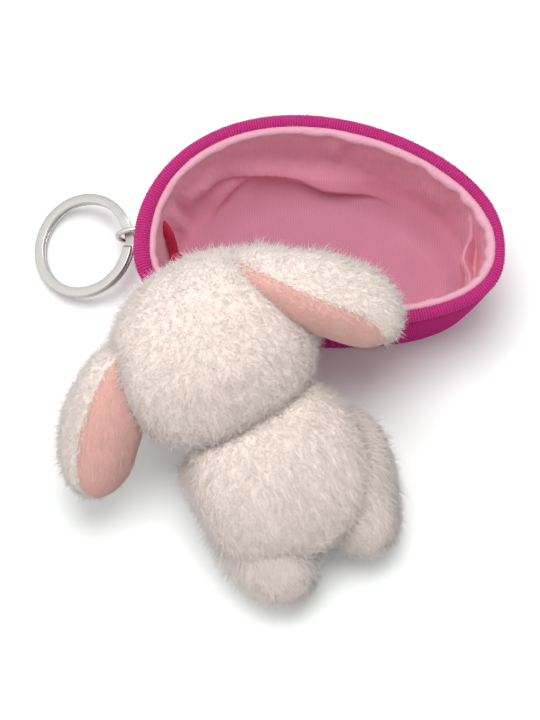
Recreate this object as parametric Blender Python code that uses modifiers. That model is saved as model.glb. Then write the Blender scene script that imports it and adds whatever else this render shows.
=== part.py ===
# Plush rabbit lying over the rim of its nest pouch, on a split key ring.
# Metres, +Z up. The origin is the centre of the pouch's flat base, on the floor.
import math

import bmesh
import bpy
import numpy as np
from mathutils import Matrix, Vector

# Sewing
FABRIC = 0.0010
CLEARANCE = 0.0004
LAYER_GAP = 0.00045

# Pouch
POUCH_LEFT = 0.0428
POUCH_RIGHT = 0.0418
POUCH_BACK = 0.0315
POUCH_FRONT = 0.0193
POUCH_LINE = -0.0060
POUCH_SKEW = 0.16
FRONT_SQUARENESS = 2.6
POUCH_HEIGHT = 0.0300
BASE_SHARE = 0.84
BASE_SHIFT = 0.0025
BASE_TUCK = 0.075
BASE_ROUND = 0.0060
WADDING = 0.0012
RIM_DIAMETER = 0.0030
HEM_ROLL = 0.0010
LINING_FOLD = 0.0020
DIP_DEPTH = 0.0112
DIP_CENTRE = 243.0
DIP_SPREAD = 610.0

# Plush
HEAD_WIDTH = 0.0462
HEAD_LENGTH = 0.0406
HEAD_THICKNESS = 0.0324
HEAD_OVERHANG = 0.0075
HEAD_YAW = 32.0
HEAD_PITCH = 25.0
BODY_WIDTH = 0.0408
BODY_LENGTH = 0.0410
BODY_THICKNESS = 0.0270
BODY_YAW = 32.0
BODY_PITCH = 33.0
NECK_SINK = 0.0055
EAR_LENGTH = 0.0362
EAR_WIDTH = 0.0165
EAR_OUTER_DEPTH = 0.0096
EAR_LINING_DEPTH = 0.0062
LEG_LENGTH = 0.0256
LEG_WIDTH = 0.0164
LEG_THICKNESS = 0.0200
LEG_LEFT_OUT = 0.0103
LEG_RIGHT_OUT = 0.0142
LEG_LEFT_SINK = 0.0130
LEG_RIGHT_SINK = 0.0121
LEG_LIFT = 0.0005
ARM_LENGTH = 0.0190
ARM_WIDTH = 0.0100
ARM_SPREAD = 0.0250
ARM_AHEAD = 0.0056
ARM_LIFT = 0.0047
NOSE_WIDTH = 0.0036
EYE_WIDTH = 0.0050
STITCH = 0.0008

# Key ring, link, hanging loop and tether
RING_OUTER = 0.0250
BAND_WIDTH = 0.0022
BAND_THICKNESS = 0.0009
BAND_GAP = 0.00046
RING_TILT = 22.0
RING_YAW = 6.0
RING_X = -0.0449
RING_Y = 0.0033
LINK_OUTER = 0.0088
LINK_WIRE = 0.0013
LOOP_CORD = 0.0017
TETHER_DIAMETER = 0.0024
TETHER_Y = 0.0020
TETHER_Z = 0.0236
TETHER_DROP = 0.0020
TETHER_LEAD = 0.0065
WALL_SLANT = 1.15

# Joint limits in degrees, as record.json states them
NECK_LIMITS = (-14.0, 5.0)
EAR_LEFT_LIMITS = (-6.0, 15.0)
EAR_RIGHT_LIMITS = (-24.0, 0.0)
LEG_LIMITS = (-18.0, 5.0)
ARM_LIMITS = (-12.0, 12.0)

AROUND = 36


def sign(value):
    return -1.0 if value < 0.0 else 1.0


def material(name, colour, roughness, metallic=0.0):
    mat = bpy.data.materials.new(name)
    mat.use_nodes = True
    shader = mat.node_tree.nodes["Principled BSDF"]
    shader.inputs["Base Color"].default_value = (*colour, 1.0)
    shader.inputs["Roughness"].default_value = roughness
    shader.inputs["Metallic"].default_value = metallic
    return mat


def add(name, data, colour, roughness=0.9, metallic=0.0, frame=None):
    obj = bpy.data.objects.new(name, data)
    bpy.context.scene.collection.objects.link(obj)
    if frame is not None:
        obj.matrix_world = frame
    data.materials.append(material(name, colour, roughness, metallic))
    return obj


def finish_mesh(bm, name):
    bmesh.ops.remove_doubles(bm, verts=bm.verts, dist=0.00001)
    bmesh.ops.recalc_face_normals(bm, faces=bm.faces)
    mesh = bpy.data.meshes.new(name)
    bm.to_mesh(mesh)
    bm.free()
    return mesh


# Pouch: the mouth's oval, its height around the rim, and any point of a wall
def mouth(angle, depth):
    c, s = math.cos(angle), math.sin(angle)
    half = (POUCH_RIGHT if c >= 0.0 else POUCH_LEFT) - depth
    if s >= 0.0:
        return half * c, (POUCH_BACK - depth) * s * (1.0 - POUCH_SKEW * c)
    power = 2.0 / FRONT_SQUARENESS
    return half * sign(c) * abs(c) ** power, -(POUCH_FRONT - depth) * abs(s) ** power


def rim_height(angle):
    spread = DIP_SPREAD * HEAD_WIDTH
    away = (math.degrees(angle) % 360.0 - DIP_CENTRE) / spread
    return POUCH_HEIGHT - DIP_DEPTH * math.exp(-away * away)


def pouch_point(angle, depth, z):
    h = min(max(z / POUCH_HEIGHT, 0.0), 1.0)
    rise = h * (1.25 - 0.25 * h)
    x, y = mouth(angle, depth)
    base = BASE_SHARE - BASE_TUCK * max(0.0, x / POUCH_RIGHT) ** 2
    share = base + (1.0 - base) * rise
    return Vector((share * x + BASE_SHIFT * (1.0 - rise), POUCH_LINE + share * y, z))


def left_wall(y, z, depth):
    low, high = math.pi / 2, math.pi
    for _ in range(40):
        middle = (low + high) / 2
        if pouch_point(middle, depth, z).y > y:
            low = middle
        else:
            high = middle
    return pouch_point(low, depth, z)


def wall_side(depth, drop, wall_rows, roll, fold):
    corner = max(BASE_ROUND - depth, 0.0015)
    rows = [("centre", depth), ("base", depth + corner, depth)]
    rows.append(("base", depth + 0.293 * corner, depth + 0.293 * corner))
    for share in wall_rows:
        bulge = roll * max(0.0, 1.0 - abs(share - 0.93) / 0.14)
        crease = fold * math.exp(-(((share - 0.14) / 0.10) ** 2))
        rows.append(("wall", depth + bulge, share, depth + corner, drop, crease))
    return rows


def wall_place(row, angle):
    if row[0] == "centre":
        return Vector((BASE_SHIFT, POUCH_LINE, row[1]))
    if row[0] == "base":
        return pouch_point(angle, row[1], row[2])
    foot, top = row[3], rim_height(angle) - row[4]
    crease = row[5] * math.exp(-(((math.degrees(angle) - 95.0) / 38.0) ** 2))
    return pouch_point(angle, row[1] + crease, foot + (top - foot) * row[2])


def pouch_shell(name, depth, thickness, drop, wall_rows, roll=0.0, fold=0.0):
    rows = wall_side(depth, drop, wall_rows, roll, fold)
    rows += reversed(wall_side(depth + thickness, drop, wall_rows, roll, fold))
    last = len(rows) - 1
    bm = bmesh.new()
    bmesh.ops.create_grid(bm, x_segments=AROUND, y_segments=last, size=1.0)
    for vert in bm.verts:
        angle = math.pi * (vert.co.x + 1.0)
        vert.co = wall_place(rows[round((vert.co.y + 1.0) / 2 * last)], angle)
    return finish_mesh(bm, name)


def tube(name, points, diameter, closed=False, round_sides=2, smooth=3):
    curve = bpy.data.curves.new(name, "CURVE")
    curve.dimensions = "3D"
    curve.bevel_depth = diameter / 2
    curve.bevel_resolution = round_sides
    curve.use_fill_caps = True
    curve.resolution_u = smooth
    curve.render_resolution_u = smooth
    spline = curve.splines.new("BEZIER")
    spline.bezier_points.add(len(points) - 1)
    spline.use_cyclic_u = closed
    for knot, point in zip(spline.bezier_points, points):
        knot.co = point
        knot.handle_left_type = "AUTO"
        knot.handle_right_type = "AUTO"
    return curve


# Stuffed pieces: a rounded form with its long axis on local Y
def soft_mesh(name, size, grow=0.0, taper=0.0, fullness=2.0, segments=20, rings=12, opening=0, side=0):
    bm = bmesh.new()
    bmesh.ops.create_uvsphere(bm, u_segments=segments, v_segments=rings, radius=1.0)
    bmesh.ops.rotate(bm, verts=bm.verts, matrix=Matrix.Rotation(math.radians(-90.0), 3, "X"))
    if opening:
        pole = max(bm.verts, key=lambda vert: opening * vert.co.y)
        bmesh.ops.delete(bm, geom=[pole], context="VERTS")
    if side:
        away = [vert for vert in bm.verts if side * vert.co.z < -0.001]
        bmesh.ops.delete(bm, geom=away, context="VERTS")
    for vert in bm.verts:
        unit = vert.co
        total = abs(unit.x) ** fullness + abs(unit.y) ** fullness + abs(unit.z) ** fullness
        unit = unit * total ** (-1.0 / fullness)
        swell = 1.0 + taper * unit.y
        vert.co = (
            (size[0] / 2 + grow) * unit.x * swell,
            (size[1] / 2 + grow) * unit.y,
            (size[2] / 2 + grow) * unit.z * swell,
        )
    return finish_mesh(bm, name)


def frame_at(place, yaw, pitch):
    turn = Matrix.Rotation(math.radians(yaw), 4, "Z") @ Matrix.Rotation(math.radians(pitch), 4, "X")
    return Matrix.Translation(place) @ turn


def frame_along(place, along, face):
    y = along.normalized()
    z = (face - face.dot(y) * y).normalized()
    x = y.cross(z)
    turn = Matrix((x, y, z)).transposed().to_4x4()
    return Matrix.Translation(place) @ turn


def turn_about(place, axis, degrees):
    turn = Matrix.Rotation(math.radians(degrees), 4, axis)
    return Matrix.Translation(place) @ turn @ Matrix.Translation(-place)


def sewn_skin(obj):
    skin = obj.modifiers.new("fabric", "SOLIDIFY")
    skin.thickness = FABRIC
    skin.offset = -1.0


# One form, swept through the joint's range, clears the other
def cut_with(pieces, name, mesh, frame):
    cutter = bpy.data.objects.new(name, mesh)
    cutters.objects.link(cutter)
    cutter.matrix_world = frame
    cutter.hide_render = True
    cutter.display_type = "WIRE"
    for piece in pieces:
        cut = piece.modifiers.new("clear", "BOOLEAN")
        cut.operation = "DIFFERENCE"
        cut.object = cutter
        cut.solver = "EXACT"


def clear_of(pieces, mesh, frame, place, axis, limits):
    for k, share in enumerate((0.0, 0.5, 1.0)):
        degrees = limits[0] + share * (limits[1] - limits[0])
        cut_with(pieces, f"{pieces[0].name}_clear_{k}", mesh, turn_about(place, axis, -degrees) @ frame)


def swept_form(name, mesh, frame, place, axis, limits):
    bm = bmesh.new()
    for degrees in (limits[0], 0.0, limits[1]):
        turn = turn_about(place, axis, degrees) @ frame
        for vert in mesh.vertices:
            bm.verts.new(turn @ vert.co)
    bmesh.ops.convex_hull(bm, input=bm.verts)
    bmesh.ops.delete(bm, geom=[vert for vert in bm.verts if not vert.link_faces], context="VERTS")
    return finish_mesh(bm, name)


def carry(name, place, pieces):
    pivot = bpy.data.objects.new(name, None)
    bpy.context.scene.collection.objects.link(pivot)
    pivot.location = place
    bpy.context.view_layer.update()
    for piece in pieces:
        piece.parent = pivot
        piece.matrix_parent_inverse = pivot.matrix_world.inverted()


for old in list(bpy.data.objects):
    bpy.data.objects.remove(old, do_unlink=True)
cutters = bpy.data.collections.new("cutters")
bpy.context.scene.collection.children.link(cutters)

MAGENTA = (0.50, 0.035, 0.20)
PINK = (0.62, 0.30, 0.36)
WHITE = (0.80, 0.74, 0.69)
FILL = (0.85, 0.85, 0.83)
CRIMSON = (0.25, 0.01, 0.04)
NICKEL = (0.55, 0.53, 0.50)
THREAD = (0.30, 0.16, 0.14)

# Pouch
wadding_depth = FABRIC + LAYER_GAP
rim_depth = (wadding_depth + WADDING) / 2
lining_depth = rim_depth + RIM_DIAMETER / 2 + CLEARANCE
under_rim = 1.12 * RIM_DIAMETER + CLEARANCE
plain_rows = (0.0, 0.4, 0.75, 1.0)
hem_rows = (0.0, 0.14, 0.3, 0.55, 0.8, 0.86, 0.93, 1.0)
outer = pouch_shell("pouch_outer", 0.0, FABRIC, under_rim, plain_rows)
add("pouch_outer", outer, MAGENTA)
wadding = pouch_shell("pouch_wadding", wadding_depth, WADDING, under_rim, plain_rows)
add("pouch_wadding", wadding, FILL)
lining = pouch_shell("pouch_lining", lining_depth, FABRIC, CLEARANCE, hem_rows, HEM_ROLL, LINING_FOLD)
add("pouch_lining", lining, PINK)
rim_points = []
for step in range(AROUND):
    angle = 2.0 * math.pi * step / AROUND
    rim_points.append(pouch_point(angle, rim_depth, rim_height(angle) - RIM_DIAMETER / 2))
add("pouch_rim", tube("pouch_rim", rim_points, RIM_DIAMETER, closed=True, smooth=1), MAGENTA)

# Head, resting over the dipped rim
head_size = (HEAD_WIDTH, HEAD_LENGTH, HEAD_THICKNESS)
seat = rim_height(math.radians(DIP_CENTRE))
head_place = Vector((
    -0.576 * POUCH_LEFT,
    POUCH_LINE - POUCH_FRONT - HEAD_OVERHANG,
    seat + CLEARANCE + 0.97 * HEAD_THICKNESS / 2,
))
head_frame = frame_at(head_place, HEAD_YAW, HEAD_PITCH)
head_form = {"fullness": 2.1, "segments": 20, "rings": 12}
head_skin = add("head_skin", soft_mesh("head_skin", head_size, opening=-1, **head_form), WHITE, frame=head_frame)
sewn_skin(head_skin)
inside = -(FABRIC + CLEARANCE)
head_filling = add(
    "head_filling",
    soft_mesh("head_filling", head_size, grow=inside, fullness=2.1, segments=16, rings=8),
    FILL, frame=head_frame,
)
head_cutter = soft_mesh("head_cutter", head_size, grow=CLEARANCE, **head_form)

# Plain stitched face, on the side that lies down
def face_point(x, y, lift):
    half = [side / 2 for side in head_size]
    left = 1.0 - abs(x / half[0]) ** 2.1 - abs(y / half[1]) ** 2.1
    return head_frame @ Vector((x, y, -half[2] * left ** (1.0 / 2.1) - lift))


nose_size = (NOSE_WIDTH, 0.7 * NOSE_WIDTH, 0.5 * NOSE_WIDTH)
nose_y = -0.14 * HEAD_LENGTH
nose_place = face_point(0.0, nose_y, nose_size[2] / 2 + CLEARANCE)
nose = add(
    "nose", soft_mesh("nose", nose_size, segments=10, rings=6), THREAD,
    frame=frame_at(nose_place, HEAD_YAW, HEAD_PITCH),
)
face = [nose]
for name, way in (("eye_left", -1.0), ("eye_right", 1.0)):
    stitch = []
    for step in range(5):
        along = (step / 4 - 0.5) * EYE_WIDTH
        sag = 0.22 * EYE_WIDTH * (1.0 - (2.0 * along / EYE_WIDTH) ** 2)
        at = (way * 0.17 * HEAD_WIDTH + along, 0.02 * HEAD_LENGTH - sag)
        stitch.append(face_point(*at, STITCH / 2 + CLEARANCE))
    face.append(add(name, tube(name, stitch, STITCH, round_sides=1, smooth=2), THREAD))

# Body, hung at the neck
neck = head_frame @ Vector((0.0, -0.455 * HEAD_LENGTH, 0.0))
plush_side = Matrix.Rotation(math.radians(BODY_YAW), 3, "Z") @ Vector((1.0, 0.0, 0.0))
plush_ahead = Vector((-plush_side.y, plush_side.x, 0.0))
body_frame = frame_at(neck, BODY_YAW, BODY_PITCH) @ Matrix.Translation((0.0, NECK_SINK - BODY_LENGTH / 2, 0.0))
body_size = (BODY_WIDTH, BODY_LENGTH, BODY_THICKNESS)
body_form = {"fullness": 2.25, "taper": -0.04, "segments": 20, "rings": 12}
body_skin = add("body_skin", soft_mesh("body_skin", body_size, opening=1, **body_form), WHITE, frame=body_frame)
sewn_skin(body_skin)
body_filling = add(
    "body_filling",
    soft_mesh("body_filling", body_size, grow=inside, fullness=2.25, taper=-0.04, segments=16, rings=8),
    FILL, frame=body_frame,
)
body_pieces = [body_skin, body_filling]
clear_of(body_pieces, head_cutter, head_frame, neck, plush_side, NECK_LIMITS)
body_cutter = soft_mesh("body_cutter", body_size, grow=CLEARANCE, **body_form)
body_place = body_frame.translation

# Ears: a furry outer panel and a smooth inner panel over light stuffing
ears = {
    "ear_left": {
        "root": (-0.45, 0.21, 0.03), "along": (-0.17, -0.69, -0.70),
        "face": (0.66, -0.45, 0.60), "limits": EAR_LEFT_LIMITS,
    },
    "ear_right": {
        "root": (0.33, 0.24, 0.30), "along": (0.92, -0.245, -0.305),
        "face": (0.0, -0.95, -0.31), "limits": EAR_RIGHT_LIMITS,
    },
}
ear_panels = (("outer", -1, EAR_OUTER_DEPTH, WHITE), ("lining", 1, EAR_LINING_DEPTH, PINK))
ear_pieces = {}
for name, ear in ears.items():
    share = ear["root"]
    root = head_frame @ Vector([share[k] * head_size[k] for k in range(3)])
    ear_turn = frame_along(root, Vector(ear["along"]), Vector(ear["face"]))
    middle = ear_turn @ Matrix.Translation((0.0, 0.42 * EAR_LENGTH, 0.0))
    hinge = (ear_turn.to_3x3() @ Vector((1.0, 0.0, 0.0))).normalized()
    made = []
    for part, side, depth, colour in ear_panels:
        size = (EAR_WIDTH, EAR_LENGTH, 2.0 * depth)
        panel = soft_mesh(f"{name}_{part}", size, taper=0.2, segments=16, rings=10, side=side)
        seam = Matrix.Translation((0.0, 0.0, side * CLEARANCE))
        obj = add(f"{name}_{part}", panel, colour, frame=middle @ seam)
        sewn_skin(obj)
        made.append(obj)
    size = (EAR_WIDTH, EAR_LENGTH, 2.0 * min(EAR_OUTER_DEPTH, EAR_LINING_DEPTH))
    stuffing = soft_mesh(f"{name}_filling", size, grow=inside, taper=0.2, segments=12, rings=8)
    made.append(add(f"{name}_filling", stuffing, FILL, frame=middle))
    clear_of(made, head_cutter, head_frame, root, hinge, ear["limits"])
    ear_pieces[name] = (root, made, hinge)

# Legs and arms, lying on the floor
leg_z = LEG_THICKNESS / 2 + LEG_LIFT
arm_z = ARM_WIDTH / 2 + ARM_LIFT
limbs = {
    "leg_left": {
        "at": (-LEG_LEFT_OUT, LEG_LEFT_SINK - BODY_LENGTH / 2, leg_z), "along": (0.0, -1.0, 0.0),
        "size": (LEG_WIDTH, LEG_LENGTH, LEG_THICKNESS), "limits": LEG_LIMITS, "axis": plush_side,
    },
    "leg_right": {
        "at": (LEG_RIGHT_OUT, LEG_RIGHT_SINK - BODY_LENGTH / 2, leg_z), "along": (-0.36, -1.0, 0.0),
        "size": (LEG_WIDTH, LEG_LENGTH, LEG_THICKNESS), "limits": LEG_LIMITS, "axis": plush_side,
    },
    "arm_left": {
        "at": (-ARM_SPREAD / 2, ARM_AHEAD, arm_z), "along": (-0.2, 1.0, -0.22),
        "size": (ARM_WIDTH, ARM_LENGTH, ARM_WIDTH), "limits": ARM_LIMITS, "axis": Vector((0.0, 0.0, 1.0)),
    },
    "arm_right": {
        "at": (ARM_SPREAD / 2, ARM_AHEAD, arm_z), "along": (0.2, 1.0, -0.22),
        "size": (ARM_WIDTH, ARM_LENGTH, ARM_WIDTH), "limits": ARM_LIMITS, "axis": Vector((0.0, 0.0, 1.0)),
    },
}
limb_pieces = {}
for name, limb in limbs.items():
    at, along = limb["at"], limb["along"]
    hip = body_place + at[0] * plush_side + at[1] * plush_ahead
    hip.z = at[2]
    way = along[0] * plush_side + along[1] * plush_ahead + Vector((0.0, 0.0, along[2]))
    limb_turn = frame_along(hip, way, Vector((0.0, 0.0, 1.0)))
    middle = limb_turn @ Matrix.Translation((0.0, 0.12 * limb["size"][1], 0.0))
    skin_mesh = soft_mesh(
        f"{name}_skin", limb["size"], taper=0.08, fullness=2.1, segments=14, rings=9, opening=-1
    )
    skin = add(f"{name}_skin", skin_mesh, WHITE, frame=middle)
    sewn_skin(skin)
    stuffing = soft_mesh(
        f"{name}_filling", limb["size"], grow=inside, taper=0.08, fullness=2.1, segments=12, rings=7
    )
    filling = add(f"{name}_filling", stuffing, FILL, frame=middle)
    if name in ("leg_left", "leg_right"):
        leg_form = soft_mesh(
            f"{name}_form", limb["size"], grow=CLEARANCE, taper=0.08, fullness=2.1, segments=14, rings=9
        )
        kick = swept_form(f"{name}_kick", leg_form, middle, hip, limb["axis"], limb["limits"])
        cut_with(body_pieces, f"{name}_kick", kick, Matrix())
    else:
        clear_of([skin, filling], body_cutter, body_frame, hip, limb["axis"], limb["limits"])
    limb_pieces[name] = (hip, [skin, filling])

# Split key ring: one flat band in two turns, with a step between them
ring_radius = (RING_OUTER - BAND_WIDTH) / 2
pitch = BAND_THICKNESS + BAND_GAP
band_yaw = Matrix.Rotation(math.radians(RING_YAW), 4, "Z")
tilt = band_yaw @ Matrix.Rotation(math.radians(-RING_TILT), 4, "Y")
ring_lean = math.radians(RING_TILT)
ring_low = (ring_radius + BAND_WIDTH / 2) * math.sin(ring_lean) + (pitch + BAND_THICKNESS) / 2 * math.cos(ring_lean)
ring_centre_z = ring_low + 0.0001
ring_lift = ring_radius * math.sin(ring_lean)
band_place = Vector((RING_X, RING_Y, ring_centre_z + ring_lift))
ring_centre = band_place - (tilt.to_3x3() @ Vector((ring_radius, 0.0, 0.0)))
profile_curve = bpy.data.curves.new("band_profile", "CURVE")
profile_curve.dimensions = "2D"
profile = profile_curve.splines.new("POLY")
profile.points.add(7)
profile.use_cyclic_u = True
w, t, ease = BAND_WIDTH / 2, BAND_THICKNESS / 2, 0.00022
corners = [(w - ease, -t), (w, -t + ease), (w, t - ease), (w - ease, t)]
corners += [(-x, -y) for x, y in corners]
for knot, corner in zip(profile.points, corners[::-1]):
    knot.co = (*corner, 0.0, 1.0)
profile_obj = bpy.data.objects.new("band_profile", profile_curve)
cutters.objects.link(profile_obj)
profile_obj.hide_render = True
ring_curve = bpy.data.curves.new("split_ring", "CURVE")
ring_curve.dimensions = "3D"
ring_curve.twist_mode = "Z_UP"
ring_curve.bevel_mode = "OBJECT"
ring_curve.bevel_object = profile_obj
ring_curve.use_fill_caps = True
step_from, step_to = 324.0, 356.0
turns = []
for k in range(73):
    wound = k * 664.0 / 72
    share = min(max((wound - step_from) / (step_to - step_from), 0.0), 1.0)
    height = pitch * (0.5 - share * share * (3.0 - 2.0 * share))
    turns.append((math.radians(-14.0 - wound), height))
ring_spline = ring_curve.splines.new("POLY")
ring_spline.points.add(len(turns) - 1)
for knot, (angle, height) in zip(ring_spline.points, turns):
    knot.co = (ring_radius * math.cos(angle), ring_radius * math.sin(angle), height, 1.0)
ring = add("split_ring", ring_curve, NICKEL, 0.3, 1.0, frame=Matrix.Translation(ring_centre) @ tilt)
faces = []
for angle, height in turns:
    for x, y in corners:
        reach = ring_radius + x
        faces.append((angle, reach * math.cos(angle), reach * math.sin(angle), height + y))
faces = np.array(faces)
apart = np.linalg.norm(faces[:, None, 1:] - faces[None, :, 1:], axis=2)
apart[np.abs(faces[:, None, 0] - faces[None, :, 0]) < math.radians(120.0)] = 1.0
print(f"split ring least gap to itself {apart.min() * 1000:.2f} mm")

# Link through the ring, and the loop that carries it
link_x = Vector((math.cos(math.radians(RING_YAW)), math.sin(math.radians(RING_YAW)), 0.0))
link_bore = LINK_OUTER / 2 - LINK_WIRE
link_place = band_place + 0.355 * link_bore * link_x
bm = bmesh.new()
bmesh.ops.create_circle(bm, segments=10, radius=LINK_WIRE / 2)
bmesh.ops.translate(bm, verts=bm.verts, vec=((LINK_OUTER - LINK_WIRE) / 2, 0.0, 0.0))
bmesh.ops.rotate(
    bm, verts=bm.verts, cent=((LINK_OUTER - LINK_WIRE) / 2, 0.0, 0.0),
    matrix=Matrix.Rotation(math.radians(90.0), 3, "X"),
)
bmesh.ops.spin(
    bm, geom=list(bm.verts) + list(bm.edges), cent=(0.0, 0.0, 0.0), axis=(0.0, 0.0, 1.0),
    angle=2.0 * math.pi, steps=24, use_merge=True,
)
upright = band_yaw @ Matrix.Rotation(math.radians(90.0), 4, "X")
link = add(
    "ring_link", finish_mesh(bm, "ring_link"), NICKEL, 0.3, 1.0,
    frame=Matrix.Translation(link_place) @ upright,
)
strand = link_place + (link_bore - LOOP_CORD / 2 - CLEARANCE) * link_x
link_y = Vector((-link_x.y, link_x.x, 0.0))
loop_points = [strand]
for way in (-1.0, 1.0):
    bend = strand + way * 0.0022 * link_y + 0.0007 * link_x
    leg_y = strand.y + way * 0.0034
    wall = left_wall(leg_y, strand.z, 0.0) - Vector((CLEARANCE + 0.35 * LOOP_CORD / 2, 0.0, 0.0))
    leg = [bend, Vector((wall.x - 0.0022, leg_y, strand.z)), wall]
    loop_points = loop_points + leg if way > 0 else leg[::-1] + loop_points
add("hanging_loop", tube("hanging_loop", loop_points, LOOP_CORD), MAGENTA)

# Tether, from the lining's left end to the crown, with slack
tie = Vector((0.20, 0.80, -((1.0 - 0.20 ** 2.1 - 0.80 ** 2.1) ** (1.0 / 2.1))))
tie_out = Vector([sign(tie[k]) * abs(tie[k]) ** 1.1 / head_size[k] for k in range(3)])
tie_out = head_frame.to_3x3() @ tie_out.normalized()
crown = head_frame @ Vector([tie[k] * head_size[k] / 2 for k in range(3)]) + 1.3 * CLEARANCE * tie_out
inner = lining_depth + FABRIC
off_wall = Vector((WALL_SLANT * (TETHER_DIAMETER / 2 + CLEARANCE), 0.0, 0.0))
start = left_wall(TETHER_Y, TETHER_Z, inner) + off_wall
corner = crown + TETHER_LEAD * tie_out
under = corner - Vector((0.0, 0.0, TETHER_LEAD))
bend = (start.y - corner.y) / 2
hang_z = start.z - TETHER_DROP
route = [start]
for degrees in range(0, 181, 30):
    turn = math.radians(degrees)
    y = corner.y + bend * (1.0 + math.cos(turn))
    z = hang_z - bend * math.sin(turn)
    along_wall = (left_wall(y, z, inner) + off_wall).x
    away = max(0.0, degrees / 90.0 - 1.0)
    route.append(Vector((along_wall + away * (corner.x - along_wall), y, z)))
for share in (0.0, 0.25, 0.5, 0.75, 1.0):
    route.append(under.lerp(corner, share).lerp(corner.lerp(crown, share), share))
tether = add("tether_cord", tube("tether_cord", route, TETHER_DIAMETER, smooth=4), CRIMSON)
path = np.array(route)
length = np.linalg.norm(np.diff(path, axis=0), axis=1).sum()
print(f"tether length {length * 1000:.1f} mm")

# Each moving group hangs from an empty on its joint
carry("head_pivot", start, [head_skin, head_filling, *face, tether])
carry("neck_pivot", neck, body_pieces)
for name, (place, made, hinge) in ear_pieces.items():
    carry(f"{name}_pivot", place, made)
    print(name, [round(v * 1000, 2) for v in place], [round(v, 4) for v in hinge])
for name, (place, made) in limb_pieces.items():
    carry(f"{name}_pivot", place, made)
    print(name, [round(v * 1000, 2) for v in place])
carry("link_pivot", strand, [link])
carry("ring_pivot", band_place, [ring])
print("head", [round(v * 1000, 2) for v in head_place], "neck", [round(v * 1000, 2) for v in neck])
print("side", [round(v, 4) for v in plush_side], "start", [round(v * 1000, 2) for v in start])
print("strand", [round(v * 1000, 2) for v in strand], "band", [round(v * 1000, 2) for v in band_place])
print("link y", [round(v, 4) for v in link_y], "ring centre", [round(v * 1000, 2) for v in ring_centre])
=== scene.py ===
import itertools
import math
from functools import partial

import bmesh
import bpy
import numpy as np
from mathutils import Matrix, Vector, noise
from mathutils.bvhtree import BVHTree


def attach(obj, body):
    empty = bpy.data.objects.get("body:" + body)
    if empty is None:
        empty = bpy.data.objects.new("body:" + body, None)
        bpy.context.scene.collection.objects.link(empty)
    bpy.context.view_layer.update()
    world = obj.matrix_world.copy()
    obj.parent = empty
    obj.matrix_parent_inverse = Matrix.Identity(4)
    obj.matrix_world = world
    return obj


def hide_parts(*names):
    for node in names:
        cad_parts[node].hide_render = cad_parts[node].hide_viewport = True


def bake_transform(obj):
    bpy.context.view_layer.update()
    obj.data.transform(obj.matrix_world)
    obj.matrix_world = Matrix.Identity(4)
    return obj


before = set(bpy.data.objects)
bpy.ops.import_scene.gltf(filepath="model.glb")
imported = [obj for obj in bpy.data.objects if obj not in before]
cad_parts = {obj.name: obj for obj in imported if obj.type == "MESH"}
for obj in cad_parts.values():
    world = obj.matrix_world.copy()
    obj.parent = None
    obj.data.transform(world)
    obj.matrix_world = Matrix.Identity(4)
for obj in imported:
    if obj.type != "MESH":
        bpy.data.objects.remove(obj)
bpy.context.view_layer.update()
scene = bpy.context.scene
tableGap = 0.0002


# Small helpers for objects, meshes and node trees
def linkNew(name, data):
    obj = bpy.data.objects.new(name, data)
    scene.collection.objects.link(obj)
    return obj


def meshFrom(bm, name):
    mesh = bpy.data.meshes.new(name)
    bm.to_mesh(mesh)
    bm.free()
    mesh.shade_smooth()
    return mesh


def evaluated(obj):
    bpy.context.view_layer.update()
    graph = bpy.context.evaluated_depsgraph_get()
    return bpy.data.meshes.new_from_object(obj.evaluated_get(graph))


def modifierApplied(obj, *kinds):
    for kind, settings in kinds:
        modifier = obj.modifiers.new(kind.lower(), kind)
        for key, value in settings.items():
            setattr(modifier, key, value)
    mesh = evaluated(obj)
    obj.modifiers.clear()
    obj.data = mesh
    mesh.shade_smooth()
    return obj


def socketOf(sockets, name):
    if isinstance(name, int):
        return sockets[name]
    return next(s for s in sockets if s.name == name and s.enabled)


def put(tree, kind, inputs=None, **settings):
    node = tree.nodes.new(kind)
    for key, value in settings.items():
        setattr(node, key, value)
    for key, value in (inputs or {}).items():
        socket = socketOf(node.inputs, key)
        if isinstance(value, bpy.types.NodeSocket):
            tree.links.new(value, socket)
        else:
            socket.default_value = value
    return node


def out(node, name=0):
    return socketOf(node.outputs, name)


def math2(tree, operation, a, b=0.0, clamp=False):
    return out(put(tree, "ShaderNodeMath", {0: a, 1: b}, operation=operation, use_clamp=clamp))


def sums(tree):
    return [partial(math2, tree, operation) for operation in ("ADD", "SUBTRACT", "MULTIPLY")]


def vector2(tree, operation, a, b=None, scale=None):
    inputs = {0: a}
    if b is not None:
        inputs[1] = b
    if scale is not None:
        inputs["Scale"] = scale
    return out(put(tree, "ShaderNodeVectorMath", inputs, operation=operation))


def noiseIn(tree, place, scale, detail, name="Fac"):
    return out(put(tree, "ShaderNodeTexNoise", {"Vector": place, "Scale": scale, "Detail": detail}), name)


def give(tree, outs, **values):
    for name, value in values.items():
        tree.links.new(value, outs.inputs[name])


def newTree(name, sockets):
    tree = bpy.data.node_groups.new(name, "GeometryNodeTree")
    tree.interface.new_socket("Geometry", in_out="INPUT", socket_type="NodeSocketGeometry")
    for label, kind in sockets:
        tree.interface.new_socket(label, in_out="INPUT", socket_type="NodeSocket" + kind)
    tree.interface.new_socket("Geometry", in_out="OUTPUT", socket_type="NodeSocketGeometry")
    return tree, tree.nodes.new("NodeGroupInput"), tree.nodes.new("NodeGroupOutput")


def grown(source, tree, values, name):
    modifier = source.modifiers.new(tree.name, "NODES")
    modifier.node_group = tree
    for item in tree.interface.items_tree:
        if item.in_out == "INPUT" and item.name in values:
            modifier[item.identifier] = values[item.name]
    mesh = evaluated(source)
    source.modifiers.remove(modifier)
    return linkNew(name, mesh)


def settle(piece, body, slot, *nodes):
    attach(piece, body)
    if nodes:
        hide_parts(*nodes)


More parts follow.
